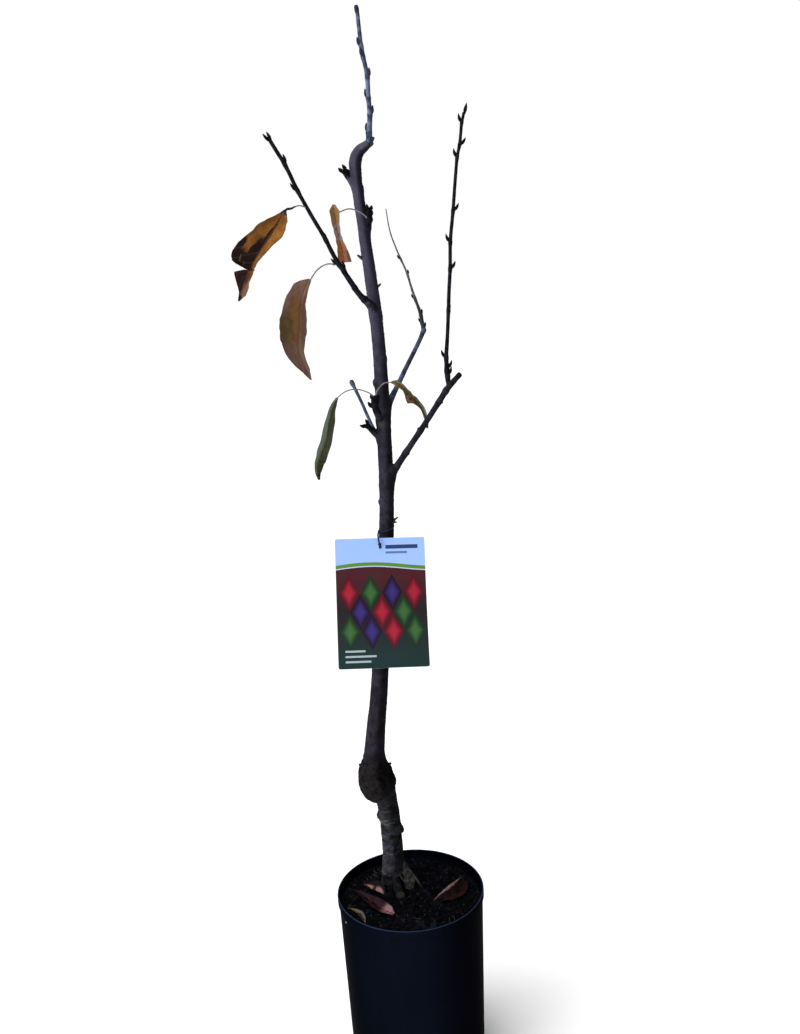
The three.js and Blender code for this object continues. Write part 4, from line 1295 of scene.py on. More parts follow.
GREEN = {
    "rib": [
        [-53.3, -20, 941.4, 1.5, 1.5], [-59.2, -20.8, 932.9, 2.2, 4.4], [-65.8, -22.4, 913.3, 4.2, 7.2],
        [-70.4, -24, 893.1, 6, 7.7], [-78.6, -25.6, 873.9, 4.4, 9.7], [-82.6, -26.4, 864.3, 3, 9.1],
        [-83.8, -27.2, 853.9, 2.6, 5.5], [-82, -28, 843.6, 1.2, 1.2],
    ],
    "fold": [-45, -62, -62, -50, -45], "curl": -8,
}
OLIVE = {
    "rib": [
        [12.2, -18, 956.4, 1, 1], [18.4, -18.7, 955.8, 3.8, 3.6], [27.8, -20, 947.9, 2.6, 3],
        [31.7, -19.3, 942.8, 5.2, 3.4], [35.9, -18.7, 938, 8.4, 3.4], [40.4, -18, 933.4, 3.8, 3.8],
        [47.8, -14.7, 922.6, 1.9, 3.1], [51.9, -11, 909.9, 2, 2.9], [53.6, -7, 896.4, 1, 1],
    ],
    "fold": [25, 50, 50], "curl": 10,
}
RUST = {
    "rib": [
        [-42.4, -15, 1166, 1.3, 1.3], [-42.6, -15, 1158.6, 5.2, 6.6], [-41.2, -14.6, 1145.3, 4.8, 3.8],
        [-40.4, -13.8, 1138.6, 4.2, 3.5], [-39.6, -13, 1131.9, 4, 3.3], [-38.4, -12.2, 1125.3, 4, 3.8],
        [-37, -11.4, 1118.7, 4.6, 5], [-35.8, -10.6, 1112.4, 6.4, 6.4], [-34.2, -9, 1099.4, 8.4, 8.4],
    ],
    "fold": [15, 38, 40, 32, 20], "curl": 12,
}
# Each stalk's points, its leaf, where it joins the rib and its width there
STALKS = [
    ([[-71.5, -54.3, 1163], [-75, -57, 1165], [-81, -58, 1166], [-88, -58, 1163.5]], GOLD, 0, 1.3),
    (
        [
            [-45.5, -28.8, 1098.1], [-49.5, -31.5, 1099.4], [-54.6, -34.5, 1099.4],
            [-60.4, -37, 1097.2], [-65.7, -39, 1093.5], [-69.8, -40.3, 1088.8],
        ],
        BROWN, 0, 1.6,
    ),
    (
        [[-8.9, -9.2, 933.6], [-11, -10.6, 940.6], [-18.6, -12, 946], [-31.6, -15, 950], [-43.7, -18, 948]],
        GREEN, 0, 1.3,
    ),
    ([[-8.2, -8.4, 931.2], [-7.2, -12.2, 942], [-2.6, -16, 950], [4, -18.5, 956]], OLIVE, 0, 1.3),
    (
        [[-4.6, -1, 1148], [-8, -8.5, 1152], [-15, -12, 1157], [-25, -14, 1160], [-36, -15, 1157]],
        RUST, 0.18, 1.3,
    ),
]
DRY_STALK_END = [
    [-84, -58.3, 1165.4, 1.8], [-88.5, -58, 1163.4, 2.6], [-93, -57.8, 1163, 3], [-98, -58, 1160, 1.8],
]
print(len(STALKS), "hanging leaves with their stalks")

# %% [markdown]
# Each leaf has its own colours and rot. Spots are [place along, place across, half length, half
# width, tone], all as shares of the leaf's flat map.

# %% Hanging leaf finishes
gold_finish = leaf_finish(
    "gold_leaf", tone(138, 90, 36), tone(102, 64, 27), tone(82, 54, 28), tone(88, 56, 34),
    [
        (0, 0.5, 0.04, 0.9, tone(46, 36, 29)), (0.12, 0.5, 0.08, 0.05, tone(50, 30, 20)),
        (0.24, 0.52, 0.1, 0.08, tone(34, 20, 16)), (0.352, 0.6, 0.1, 0.13, tone(30, 16, 13)),
        (0.336, 0.97, 0.04, 0.12, tone(28, 15, 13)), (0.45, 0.86, 0.1, 0.42, tone(26, 12, 11)),
        (0.6, 0.68, 0.14, 0.42, tone(22, 11, 11)), (0.44, 0.8, 0.05, 0.02, tone(86, 58, 44)),
        (0.49, 0.7, 0.05, 0.018, tone(74, 46, 36)),
        (0.84, 0.86, 0.12, 0.42, tone(36, 18, 19)), (0.904, 0.36, 0.12, 0.26, tone(100, 71, 61)),
        (0.808, 0.42, 0.056, 0.16, tone(64, 38, 30)), (0.992, 0.5, 0.04, 0.6, tone(16, 11, 12)),
    ], 0.5,
)
brown_finish = leaf_finish(
    "brown_leaf", tone(106, 76, 48), tone(82, 60, 38), tone(70, 54, 44), tone(76, 55, 42),
    [
        (0.06, 0.6, 0.2, 0.6, tone(120, 90, 80)), (0.24, 0.9, 0.2, 0.26, tone(114, 88, 80)),
        (0.42, 0.68, 0.3, 0.2, tone(108, 74, 46)), (0.56, 0.9, 0.2, 0.26, tone(80, 64, 40)),
        (0.5, 0.14, 0.4, 0.2, tone(74, 58, 48)), (0.82, 0.55, 0.14, 0.6, tone(98, 75, 64)),
        (0.97, 0.5, 0.08, 0.6, tone(88, 74, 70)),
    ], 0.6, 0.05, 0.9,
)
green_finish = leaf_finish(
    "green_leaf", tone(68, 74, 54), tone(46, 52, 36), tone(44, 44, 32), tone(88, 92, 78),
    [
        (0.5, 0.18, 0.6, 0.4, tone(51, 54, 28)), (0.4, 0.85, 0.4, 0.3, tone(62, 71, 62)),
        (0.9, 0.5, 0.2, 0.8, tone(51, 53, 27)), (1.0, 0.5, 0.1, 0.8, tone(28, 23, 20)),
    ], 0.3, 0.12,
)
olive_finish = leaf_finish(
    "olive_leaf", tone(104, 95, 62), tone(80, 72, 48), tone(74, 65, 46), tone(108, 99, 72),
    [
        (0.5, 0.62, 0.1, 0.3, tone(116, 84, 58)), (0.5, 0.68, 0.035, 0.09, tone(66, 38, 24)),
        (0.8, 0.5, 0.15, 0.9, tone(106, 104, 88)), (0.97, 0.5, 0.06, 0.8, tone(66, 56, 46)),
    ], 0.3,
)
rust_finish = leaf_finish(
    "rust_leaf", tone(142, 107, 68), tone(128, 94, 59), tone(136, 98, 66), tone(150, 108, 78),
    [
        (0.46, 0.5, 0.2, 0.9, tone(146, 122, 120)), (0.38, 0.7, 0.03, 0.14, tone(112, 84, 80)),
        (0.5, 0.3, 0.03, 0.14, tone(112, 84, 80)), (0.95, 0.5, 0.24, 0.9, tone(146, 94, 66)),
        (0.97, 0.05, 0.12, 0.2, tone(90, 62, 50)),
    ],
)
print("five leaf finishes, from", gold_finish.name, "to", rust_finish.name)

# %% [markdown]
# The five blades are made in one loop. Each stands for the shoot or spur that it hangs on, because
# the solid model has its leaves fused to that shoot.

# %% Hanging leaves
# For each leaf: its shape, its face, its back, its node and how crumpled it is
HANGING = {
    "leaf_gold": (GOLD, gold_finish, BROWN_BACK, "shoot_left_upper", 1.3),
    "leaf_brown": (BROWN, brown_finish, BROWN_BACK, "shoot_left_upper", 0.9),
    "leaf_green": (GREEN, green_finish, GREEN_BACK, "spur_front", 0.3),
    "leaf_olive": (OLIVE, olive_finish, GREEN_BACK, "spur_front", 0.4),
    "leaf_rust": (RUST, rust_finish, BROWN_BACK, "spur_right", 0.5),
}
for seed, (name, (shape, finish, back, node, crumple)) in enumerate(HANGING.items()):
    leaf_bm = bmesh.new()
    leaf_blade(leaf_bm, **shape, crumple=crumple, seed=seed)
    leaf_piece(leaf_bm, name, [finish, back], [node])

# %% [markdown]
# A leaf stalk is a thin limb that thickens a little where it leaves the twig. Its last two points
# are read off its leaf's rib, so that stalk and rib run on without a break.

# %% Leaf stalks
stalk_finish = Finish("leaf_stalk", 0.55, 0.15)
stalk_noise = stalk_finish.noise(stalk_finish.place("grain", (300, 300, 60)), 1, 3)
STALK = stalk_finish.colour(
    stalk_finish.ramp(stalk_noise, [(0.3, tone(76, 71, 73)), (0.7, tone(128, 124, 126))])
)
DRY_END = underside("dry_stalk_end", tone(28, 22, 20), tone(50, 40, 34))
stalk_bm = bmesh.new()
for stalk, shape, joins, end_width in STALKS:
    ends = path_at(shape["rib"], np.array([joins, joins + 0.04]))
    path = [*stalk, *ends.tolist()]
    stalk_widths = np.interp(range(len(path)), [0, 1, len(path) - 1], [2.5, 1.7, end_width])
    stations = [[*point[:3], float(width)] for point, width in zip(path, stalk_widths)]
    limb(stalk_bm, stations, 10, 60)
limb(stalk_bm, DRY_STALK_END, 10, 20, material=1)
stalk_nodes = ["shoot_left_upper", "spur_front", "spur_right"]
piece(stalk_bm, "leaf_stalks", [STALK, DRY_END], stalk_nodes)

# %% [markdown]
# ## The pot
# A nursery pot is blown or moulded from dark plastic: a plain tapering wall, a rolled collar that
# stiffens the rim and drain holes in its base. Its section is a line of points with their corners
# bevelled, spun once round. Holes are cut with a Boolean, as a punch would.

# %% Spinning and punching
POT = {"height": 260, "rim": 100, "foot": 92, "wall": 2, "floor": 3, "collar": 12, "proud": 1.8}
DRAIN = {"count": 8, "radius": 5, "circle": 68}


def spin_round(bm, steps):
    """Spins a section once round the upright axis and closes it on itself."""
    bmesh.ops.spin(
        bm, geom=bm.verts[:] + bm.edges[:], cent=(0, 0, 0), axis=(0, 0, 1), dvec=(0, 0, 0),
        angle=2 * math.pi, steps=steps, use_merge=True, use_duplicate=False,
    )


def spun(bm, profile, corner, steps=144):
    """Spins a section of [radius, height] points with rounded corners into a closed shell."""
    verts = [bm.verts.new((r * MM, 0, z * MM)) for r, z in profile]
    edges = [bm.edges.new(pair) for pair in zip(verts[:-1], verts[1:])]
    inner = verts[1:-1]
    bmesh.ops.bevel(
        bm, geom=inner, offset=corner * MM, offset_type="OFFSET", segments=3, profile=0.5,
        affect="VERTICES", material=-1,
    )
    spin_round(bm, steps)
    bmesh.ops.remove_doubles(bm, verts=bm.verts, dist=1e-6)
    bmesh.ops.recalc_face_normals(bm, faces=bm.faces)
    for face in bm.faces:
        face.smooth = True


def cut_holes(bm, holes_bm):
    """Takes the shapes in holes_bm out of the mesh in bm, with a Boolean modifier."""
    whole = bpy.data.objects.new("whole", bpy.data.meshes.new("whole"))
    punch = bpy.data.objects.new("punch", bpy.data.meshes.new("punch"))
    bm.to_mesh(whole.data)
    holes_bm.to_mesh(punch.data)
    for made in (whole, punch):
        bpy.context.scene.collection.objects.link(made)
    cut = whole.modifiers.new("cut", "BOOLEAN")
    cut.operation = "DIFFERENCE"
    cut.solver = "EXACT"
    cut.object = punch
    done = bpy.data.meshes.new_from_object(whole.evaluated_get(bpy.context.evaluated_depsgraph_get()))
    bm.clear()
    bm.from_mesh(done)
    for made in (whole, punch):
        used = made.data
        bpy.data.objects.remove(made)
        bpy.data.meshes.remove(used)
    holes_bm.free()


print("pot:", POT["height"], "mm tall and", 2 * POT["rim"], "mm across its rim")

# %% [markdown]
# The section runs from the middle of the underside, up the outside, over the rim and down the
# inside to the middle of the floor. Both of its ends lie on the axis, so the spin closes it.

# %% Pot shell
wall_top = POT["height"] - POT["collar"]
wall_radius = POT["rim"] - POT["proud"]
pot_profile = [
    (0, 0), (POT["foot"] - 2, 0), (POT["foot"], 2),
    (wall_radius, wall_top - 1), (POT["rim"], wall_top + 1), (POT["rim"], POT["height"] - 1.2),
    (POT["rim"] - 0.9, POT["height"]), (POT["rim"] - POT["wall"], POT["height"] - 0.8),
    (POT["rim"] - POT["wall"], wall_top + 2), (wall_radius - POT["wall"], wall_top),
    (POT["foot"] - POT["wall"], POT["floor"] + 2), (POT["foot"] - POT["wall"] - 2, POT["floor"]),
    (0, POT["floor"]),
]
pot_bm = bmesh.new()
spun(pot_bm, pot_profile, 0.45)
holes_bm = bmesh.new()
for k in range(DRAIN["count"]):
    angle = 2 * math.pi * (k + 0.5) / DRAIN["count"]
    place = Vector((math.cos(angle), math.sin(angle), 0)) * DRAIN["circle"] * MM
    bmesh.ops.create_cone(
        holes_bm, cap_ends=True, segments=24, radius1=DRAIN["radius"] * MM,
        radius2=DRAIN["radius"] * MM, depth=12 * MM, matrix=Matrix.Translation(place),
    )
cut_holes(pot_bm, holes_bm)

print("pot shell with", DRAIN["count"], "drain holes:", len(pot_bm.faces), "faces")

# %% [markdown]
# Dark plastic shows dust and one pale speck. Painted highlight lies along the lip, and painted
# shade inside the rim and towards its sides, where it turns away. All masks are read from the
# pot's own coordinates.

# %% Pot finish
# Painted shade on the wall towards its sides: from where, to where and by how much
POT_SIDES_PAINTED_SHADE = [
    (0, 0.085, tone(172, 150, 142)), (-0.015, -0.055, tone(206, 212, 214)),
    (-0.05, -0.09, tone(176, 176, 182)),
]
# Painted shade inside the rim and painted highlight on the lip: metres from the axis and above the floor,
# each from where to where
INNER_WALL = (0.0988, 0.0982)
INSIDE_FROM = 0.2475
LIP_HIGHLIGHT = (0.2586, 0.2596)
# The speck's place to the right and up, and its edge
SPECK_AT = (-0.0884, 0.2404)
SPECK_EDGE = (0.0011, 0.0006)

pot_finish = Finish("dark_plastic", 0.5, 0.001)
pot_place = pot_finish.place()
pot_parts = pot_finish.split(pot_place)
haze = pot_finish.noise(pot_finish.place("Object", (1, 1, 0.25)), 16, 4)
pot_colour = pot_finish.ramp(haze, [(0.3, tone(7, 10, 19)), (0.75, tone(12, 16, 28))])
dust = pot_finish.band(pot_finish.noise(pot_place, 420, 2), 0.74, 0.8)
pot_colour = pot_finish.cover(pot_colour, tone(70, 74, 86), dust, 0.35)
# Painted shade towards the wall's sides.
for start, full, shade in POT_SIDES_PAINTED_SHADE:
    painted_side_shade = pot_finish.band(pot_parts["X"], start, full)
    pot_colour = pot_finish.mix(painted_side_shade, pot_colour, shade, "MULTIPLY")
# Painted shade inside the rim.
within = pot_finish.band(pot_finish.far(pot_parts["X"], pot_parts["Y"]), *INNER_WALL)
inside = pot_finish.times(within, pot_finish.math("GREATER_THAN", pot_parts["Z"], INSIDE_FROM))
pot_colour = pot_finish.cover(pot_colour, tone(1, 1, 2), inside, 0.65)
# Painted highlight along the lip.
lip_highlight = pot_finish.band(pot_parts["Z"], *LIP_HIGHLIGHT)
pot_colour = pot_finish.cover(pot_colour, tone(44, 54, 82), lip_highlight, 0.6)
speck_x = pot_finish.math("SUBTRACT", pot_parts["X"], SPECK_AT[0])
speck_z = pot_finish.math("SUBTRACT", pot_parts["Z"], SPECK_AT[1])
speck = pot_finish.band(pot_finish.far(speck_x, speck_z), *SPECK_EDGE)
in_front = pot_finish.math("LESS_THAN", pot_parts["Y"], 0)
pot_colour = pot_finish.cover(pot_colour, tone(150, 152, 166), speck, in_front)
pot_finish.rough(haze, 0.45, 0.6)
pot_finish.bump(pot_finish.noise(pot_place, 60, 3), 0.0006, 0.25)
POT_PLASTIC = pot_finish.colour(pot_colour)
piece(pot_bm, "pot_shell", [POT_PLASTIC], ["pot"])

# %% [markdown]
# ## The potting mix
# The mix fills the pot almost to its rim: composted bark, dark and damp. Its top is a disc of rings
# raised by waves and noise, and it is level under the foot of the stem, where the solid model has
# it level too.

# %% Mix surface
SOIL_LEVEL = 246
CLEAR = 0.3
LEVEL_SPOT = {"x": -13, "y": 27, "flat": 37, "blend": 55}
SOIL_FOOT = POT["foot"] - POT["wall"] - CLEAR
SOIL_RIM = wall_radius - POT["wall"] - CLEAR - 0.2


def soil_height(x, y):
    """Height of the potting mix: gently lumpy, and level under the foot of the stem."""
    lumps = 1.1 * np.sin(x / 15 + 1) * np.sin(y / 18 + 2) + 0.5 * np.sin(x / 7 - y / 9)
    away = np.hypot(x - LEVEL_SPOT["x"], y - LEVEL_SPOT["y"])
    loose = ease(away, LEVEL_SPOT["flat"], LEVEL_SPOT["blend"])
    return (GROUND - CLEAR) * (1 - loose) + (SOIL_LEVEL + lumps) * loose


SOIL_RINGS = 70
soil_floor = POT["floor"] + CLEAR
soil_profile = [(0, soil_floor), (SOIL_FOOT - 3, soil_floor), (SOIL_FOOT, POT["floor"] + 3)]
soil_profile += [(SOIL_RIM * k / SOIL_RINGS, SOIL_LEVEL) for k in range(SOIL_RINGS, -1, -1)]
soil_bm = bmesh.new()
soil_verts = [soil_bm.verts.new((r * MM, 0, z * MM)) for r, z in soil_profile]
for pair in zip(soil_verts[:-1], soil_verts[1:]):
    soil_bm.edges.new(pair)
spin_round(soil_bm, 200)
bmesh.ops.remove_doubles(soil_bm, verts=soil_bm.verts, dist=1e-5)
top = [v for v in soil_bm.verts if v.co.z > (SOIL_LEVEL - 1) * MM]
flat = np.array([v.co for v in top]) / MM
heights = soil_height(flat[:, 0], flat[:, 1])
edge_fade = 1 - ease(np.hypot(flat[:, 0], flat[:, 1]), SOIL_RIM - 3, SOIL_RIM - 0.5)
heights += edge_fade * (2.2 * cloud(flat, (0.12, 0.12, 0.12), 4, 5) - 0.6)
for v, height in zip(top, heights):
    v.co.z = height * MM
for face in soil_bm.faces:
    face.smooth = True
soil_finish = Finish("potting_mix", 0.95, 0.02)
soil_place = soil_finish.place()
crumb = soil_finish.noise(soil_place, 380, 5)
SOIL = soil_finish.colour(
    soil_finish.ramp(crumb, [(0.38, tone(3, 3, 4)), (0.56, tone(7, 8, 11)), (0.74, tone(15, 16, 21))])
)
soil_finish.bump(crumb, 0.0012, 0.9)
piece(soil_bm, "mix_fill", [SOIL], ["soil"])

# %% [markdown]
# One lumpy surface would look like paint, so the mix carries hundreds of loose chips and crumbs,
# round beads of plant food and fibres. Each kind is a few small shapes, copied with a turn and a
# size of its own and joined into one piece, with plain base colours dealt out among the copies.
# Both sources of chance are seeded, Python's own and the one that Blender's vector noise takes its
# offsets from, so the scene is the same each time.

# %% Small shapes for the mix
SEED = 11
chance = random.Random(SEED)
noise.seed_set(SEED)


def plain(name, colour, roughness=0.9, shine=0.02):
    finish = Finish(name, roughness, shine)
    return finish.colour(colour)


CHIP_TONES = [
    plain("chip_black", tone(5, 5, 7)), plain("chip_slate", tone(9, 10, 15)),
    plain("chip_blue", tone(13, 15, 25)), plain("chip_brown", tone(12, 9, 10)),
    plain("chip_tan", tone(27, 24, 24)),
]
CHIP_SHARES = [52, 26, 8, 11, 3]


def chip_mesh(seed, tone_index):
    """One angular chip about one unit across, as a mesh to copy."""
    bm = bmesh.new()
    bmesh.ops.create_cube(bm, size=1)
    bmesh.ops.subdivide_edges(bm, edges=bm.edges[:], cuts=1, use_grid_fill=True)
    for v in bm.verts:
        v.co += noise.noise_vector(v.co * 1.7 + Vector((seed * 7.1, 0, 0))) * 0.34
    for face in bm.faces:
        face.material_index = tone_index
    mesh = bpy.data.meshes.new("chip")
    bm.to_mesh(mesh)
    bm.free()
    return mesh


print(len(CHIP_TONES), "chip tones, dealt out as", CHIP_SHARES)

# %% [markdown]
# A copy is laid at a random spot, turned, tilted and sunk a little, and none lies where the stem
# stands. Equal chances for every patch of the disc need the square root of the distance.

# %% Laying copies
STEM_FOOT = {"x": -20, "y": 38, "clear": 17}


def soil_spot(outer):
    """A random place on the mix, clear of the stem's foot."""
    while True:
        reach = math.sqrt(chance.uniform(0, outer**2))
        angle = chance.uniform(0, 2 * math.pi)
        x, y = reach * math.cos(angle), reach * math.sin(angle)
        if math.hypot(x - STEM_FOOT["x"], y - STEM_FOOT["y"]) > STEM_FOOT["clear"]:
            return x, y


def lay(bm, mesh, x, y, size, tilt=0.35, sink=0.25):
    """Copies a shape on to the mix, turned at random and sunk a little."""
    start = len(bm.verts)
    bm.from_mesh(mesh)
    bm.verts.ensure_lookup_table()
    turn = Matrix.Rotation(chance.uniform(0, 6.3), 4, "Z") @ Matrix.Rotation(
        chance.uniform(-tilt, tilt), 4, "X"
    ) @ Matrix.Rotation(chance.uniform(-tilt, tilt), 4, "Y")
    height = float(soil_height(x, y)) + size[2] * (0.5 - sink)
    place = Matrix.Translation(Vector((x, y, height)) * MM)
    bmesh.ops.transform(
        bm, matrix=place @ turn @ Matrix.Diagonal((*[s * MM for s in size], 1)),
        verts=bm.verts[start:],
    )


LOT = 40


def heap(bm, count, lay_one):
    """Lays many copies, in small lots, because adding to one long mesh is slow."""
    lot = bpy.data.meshes.new("lot")
    for first in range(0, count, LOT):
        part = bmesh.new()
        for _ in range(min(LOT, count - first)):
            lay_one(part)
        part.to_mesh(lot)
        part.free()
        bm.from_mesh(lot)
    bpy.data.meshes.remove(lot)


print("copies are laid in lots of", LOT)

# %% [markdown]
# Chips are flat flakes of bark up to 14 mm long. Crumbs are the same shapes, small and round. Six
# shapes in five tones are enough, because no two copies lie the same way.

# %% Chips and crumbs
CHIP_SHAPES = 6
CHIP_COUNT = 620
CRUMB_COUNT = 1500

chip_shapes = [[chip_mesh(seed, k) for k in range(len(CHIP_TONES))] for seed in range(CHIP_SHAPES)]


def any_chip():
    return chance.choice(chip_shapes)[chance.choices(range(len(CHIP_TONES)), CHIP_SHARES)[0]]


def lay_chip(bm):
    length = chance.choice((3, 4, 5, 6, 8, 11)) * chance.uniform(0.8, 1.3)
    size = (length, length * chance.uniform(0.35, 0.7), min(length * 0.3, 2.4))
    lay(bm, any_chip(), *soil_spot(94 - length / 2), size)


def lay_crumb(bm):
    length = chance.uniform(1.2, 2.8)
    lay(bm, any_chip(), *soil_spot(93.5), (length, length * 0.8, length * 0.7), 1.5)


chips_bm = bmesh.new()
heap(chips_bm, CHIP_COUNT, lay_chip)
heap(chips_bm, CRUMB_COUNT, lay_crumb)
piece(chips_bm, "mix_chips", CHIP_TONES, ["soil"])

# %% [markdown]
# Beads of slow plant food are small grey balls that lie on top. One icosphere is copied.

# %% Beads
BEAD_COUNT = 70

bead_bm = bmesh.new()
bmesh.ops.create_icosphere(bead_bm, subdivisions=2, radius=0.5)
for face in bead_bm.faces:
    face.smooth = True
bead_mesh = bpy.data.meshes.new("bead")
bead_bm.to_mesh(bead_mesh)
bead_bm.free()
beads_bm = bmesh.new()
for _ in range(BEAD_COUNT):
    bead_size = chance.uniform(1.6, 2.9)
    lay(beads_bm, bead_mesh, *soil_spot(92), (bead_size,) * 3, sink=0.2)
BEAD = plain("food_beads", tone(34, 33, 37), 0.5, 0.08)
piece(beads_bm, "mix_beads", [BEAD], ["soil"])

# %% [markdown]
# Fibres are thin limbs with four stations that wander over the mix. One that would leave the pot
# ends early, and is left out if too little of it remains.

# %% Fibres
FIBRE_COUNT = 90
FIBRE_LIMIT = 94

fibres_bm = bmesh.new()
for _ in range(FIBRE_COUNT):
    x, y = soil_spot(86)
    turn = chance.uniform(0, 6.3)
    bend = chance.uniform(-0.5, 0.5)
    span = chance.uniform(4, 13)
    stations = []
    for k in range(4):
        way = turn + bend * k
        x += math.cos(way) * span / 3 * (k > 0)
        y += math.sin(way) * span / 3 * (k > 0)
        if math.hypot(x, y) > FIBRE_LIMIT:
            break
        height = float(soil_height(x, y)) + 1.2 + 0.8 * math.sin(k)
        stations.append([x, y, height, chance.uniform(0.3, 0.8)])
    if len(stations) > 2:
        limb(fibres_bm, stations, 5, 9, material=chance.choice((0, 0, 1)))
FIBRES = [plain("fibre_dark", tone(20, 18, 19)), plain("fibre_pale", tone(60, 57, 58))]
piece(fibres_bm, "mix_fibres", FIBRES, ["soil"])
for mesh in [bead_mesh] + [mesh for row in chip_shapes for mesh in row]:
    bpy.data.meshes.remove(mesh)

# %% [markdown]
# ## Fallen leaves
# Four leaves have dropped on the mix. Damp has turned them dark wine and brown. Their pale patches
# are partly lifted skin and partly painted highlight, laid where a leaf faces the light.

# %% Fallen leaf finishes
# Pale spots on the fallen leaves are partly lifted skin and partly painted highlight.
pale_fallen = leaf_finish(
    "pale_fallen_leaf", tone(28, 12, 16), tone(17, 8, 11), tone(22, 11, 14), tone(34, 18, 22),
    [
        (0.33, 0.42, 0.2, 0.15, tone(128, 98, 88)), (0.74, 0.4, 0.17, 0.18, tone(128, 97, 97)),
        (0.55, 0.42, 0.05, 0.2, tone(34, 16, 20)), (0.5, 0.04, 0.6, 0.18, tone(12, 6, 8)),
    ], 0.8, 0.05, 0.9,
)
wine_fallen = leaf_finish(
    "wine_fallen_leaf", tone(42, 18, 25), tone(23, 10, 14), tone(36, 20, 25), tone(52, 32, 38),
    [(0.15, 0.6, 0.13, 0.5, tone(124, 92, 96)), (0.85, 0.4, 0.2, 0.5, tone(30, 16, 21))],
    0.8, 0.05, 0.9,
)
maroon_fallen = leaf_finish(
    "maroon_fallen_leaf", tone(29, 7, 8), tone(15, 5, 6), tone(20, 8, 8), tone(28, 11, 12),
    [(0.5, 0, 0.6, 0.13, tone(112, 94, 96)), (0.2, 0.85, 0.3, 0.3, tone(28, 15, 8))],
    0.8, 0.05, 0.7,
)
tan_fallen = leaf_finish(
    "tan_fallen_leaf", tone(18, 9, 11), tone(10, 5, 7), tone(86, 72, 64), tone(20, 11, 12),
    [(0.3, 0.12, 0.4, 0.24, tone(88, 76, 60)), (0.85, 0.12, 0.4, 0.24, tone(80, 66, 68))], 0.4, 0.05,
)
DARK_STALK = plain("fallen_stalk", tone(44, 26, 30))
FALLEN_FINISHES = [pale_fallen, wine_fallen, maroon_fallen, tan_fallen]
print(len(FALLEN_FINISHES), "fallen leaf finishes")

# %% [markdown]
# The fallen leaves use the same leaf maker as the hanging ones, with their faces turned up instead
# of to the front. Each is a line on the mix that sags to one side, and its width swells and narrows
# along it. They stay in the space that the solid model gives them.

# %% Fallen leaves
FALLEN = [
    {"from": (-69, 39), "to": (-35, 2), "sag": -2, "halves": (8, 11), "facing": (12, -10),
     "fold": (30, 30), "curl": 24, "peak": 1.5},
    {"from": (-21, -44), "to": (-80, 24), "sag": 2, "halves": (8, 10.5), "facing": (-24, 10),
     "fold": (30, 30), "curl": 22, "peak": 0.6, "stalk": (-9, -59)},
    {"from": (30, -15), "to": (73, 40), "sag": -15, "halves": (12, 13), "facing": (12, 12),
     "fold": (18, 18), "curl": 14, "peak": 0.9},
    {"from": (-86, -21), "to": (-62, -57), "sag": 3, "halves": (3, 5), "facing": (-30, -20),
     "fold": (30, 30), "curl": 30, "peak": 1},
]
for number, shape in enumerate(FALLEN):
    start, end = np.array(shape["from"], float), np.array(shape["to"], float)
    run = end - start
    share = np.linspace(0, 1, 9)
    bend = shape["sag"] * np.sin(np.pi * share) / np.linalg.norm(run)
    x = start[0] + run[0] * share - bend * run[1]
    y = start[1] + run[1] * share + bend * run[0]
    wide = np.maximum(np.sin(np.pi * share ** shape["peak"]) ** 0.85, 0.04)
    z = soil_height(x, y) + CLEAR + 0.9
    rib = np.stack([x, y, z, shape["halves"][0] * wide, shape["halves"][1] * wide], axis=1)
    fallen_bm = bmesh.new()
    leaf_blade(
        fallen_bm, rib, shape["fold"], shape["curl"], shape["facing"], UPWARD, 70, 26,
        crumple=0.9, seed=number + 20,
    )
    name = f"fallen_leaf_{number + 1}"
    finishes = [FALLEN_FINISHES[number], pale_fallen]
    leaf_piece(fallen_bm, name + "_blade", finishes, [name], 0.5)
    if "stalk" in shape:
        far = np.array(shape["stalk"], float)
        route = [(x[1], y[1]), start, (start + far) / 2, far]
        stations = [[px, py, float(soil_height(px, py)) + CLEAR + 1.1, 1.5] for px, py in route]
        fallen_stalk_bm = bmesh.new()
        limb(fallen_stalk_bm, stations, 8, 30)
        piece(fallen_stalk_bm, name + "_stalk", [DARK_STALK], [name])

# %% [markdown]
# ## The plant label
# A printed plastic card hangs from the stem by a coated wire. The card is cut flat, with rounded
# corners and a punched hole, gets its own flat map, and is only then bowed and hung, which keeps the
# print straight on it.

# %% Label card
CARD_STRIPS = 32

LABEL = {"width": 112.5, "height": 162, "thick": 0.9, "bow": 5, "hole": 2.3, "drop": 11}
LABEL_PLACE = (
    Matrix.Translation((-13, -6, 760))
    @ Matrix.Rotation(math.radians(4.8), 4, "Z")
    @ Matrix.Rotation(math.radians(65), 4, "X")
    @ Matrix.Rotation(math.radians(-2.9), 4, "Z")
)


def on_label(right, down, front):
    """A place on the hanging card, in millimetres: across it, down it and in front of it."""
    bow = -LABEL["bow"] * math.sin(math.pi * max(down, 0) / LABEL["height"])
    return LABEL_PLACE @ Vector((right, -down, front + bow))


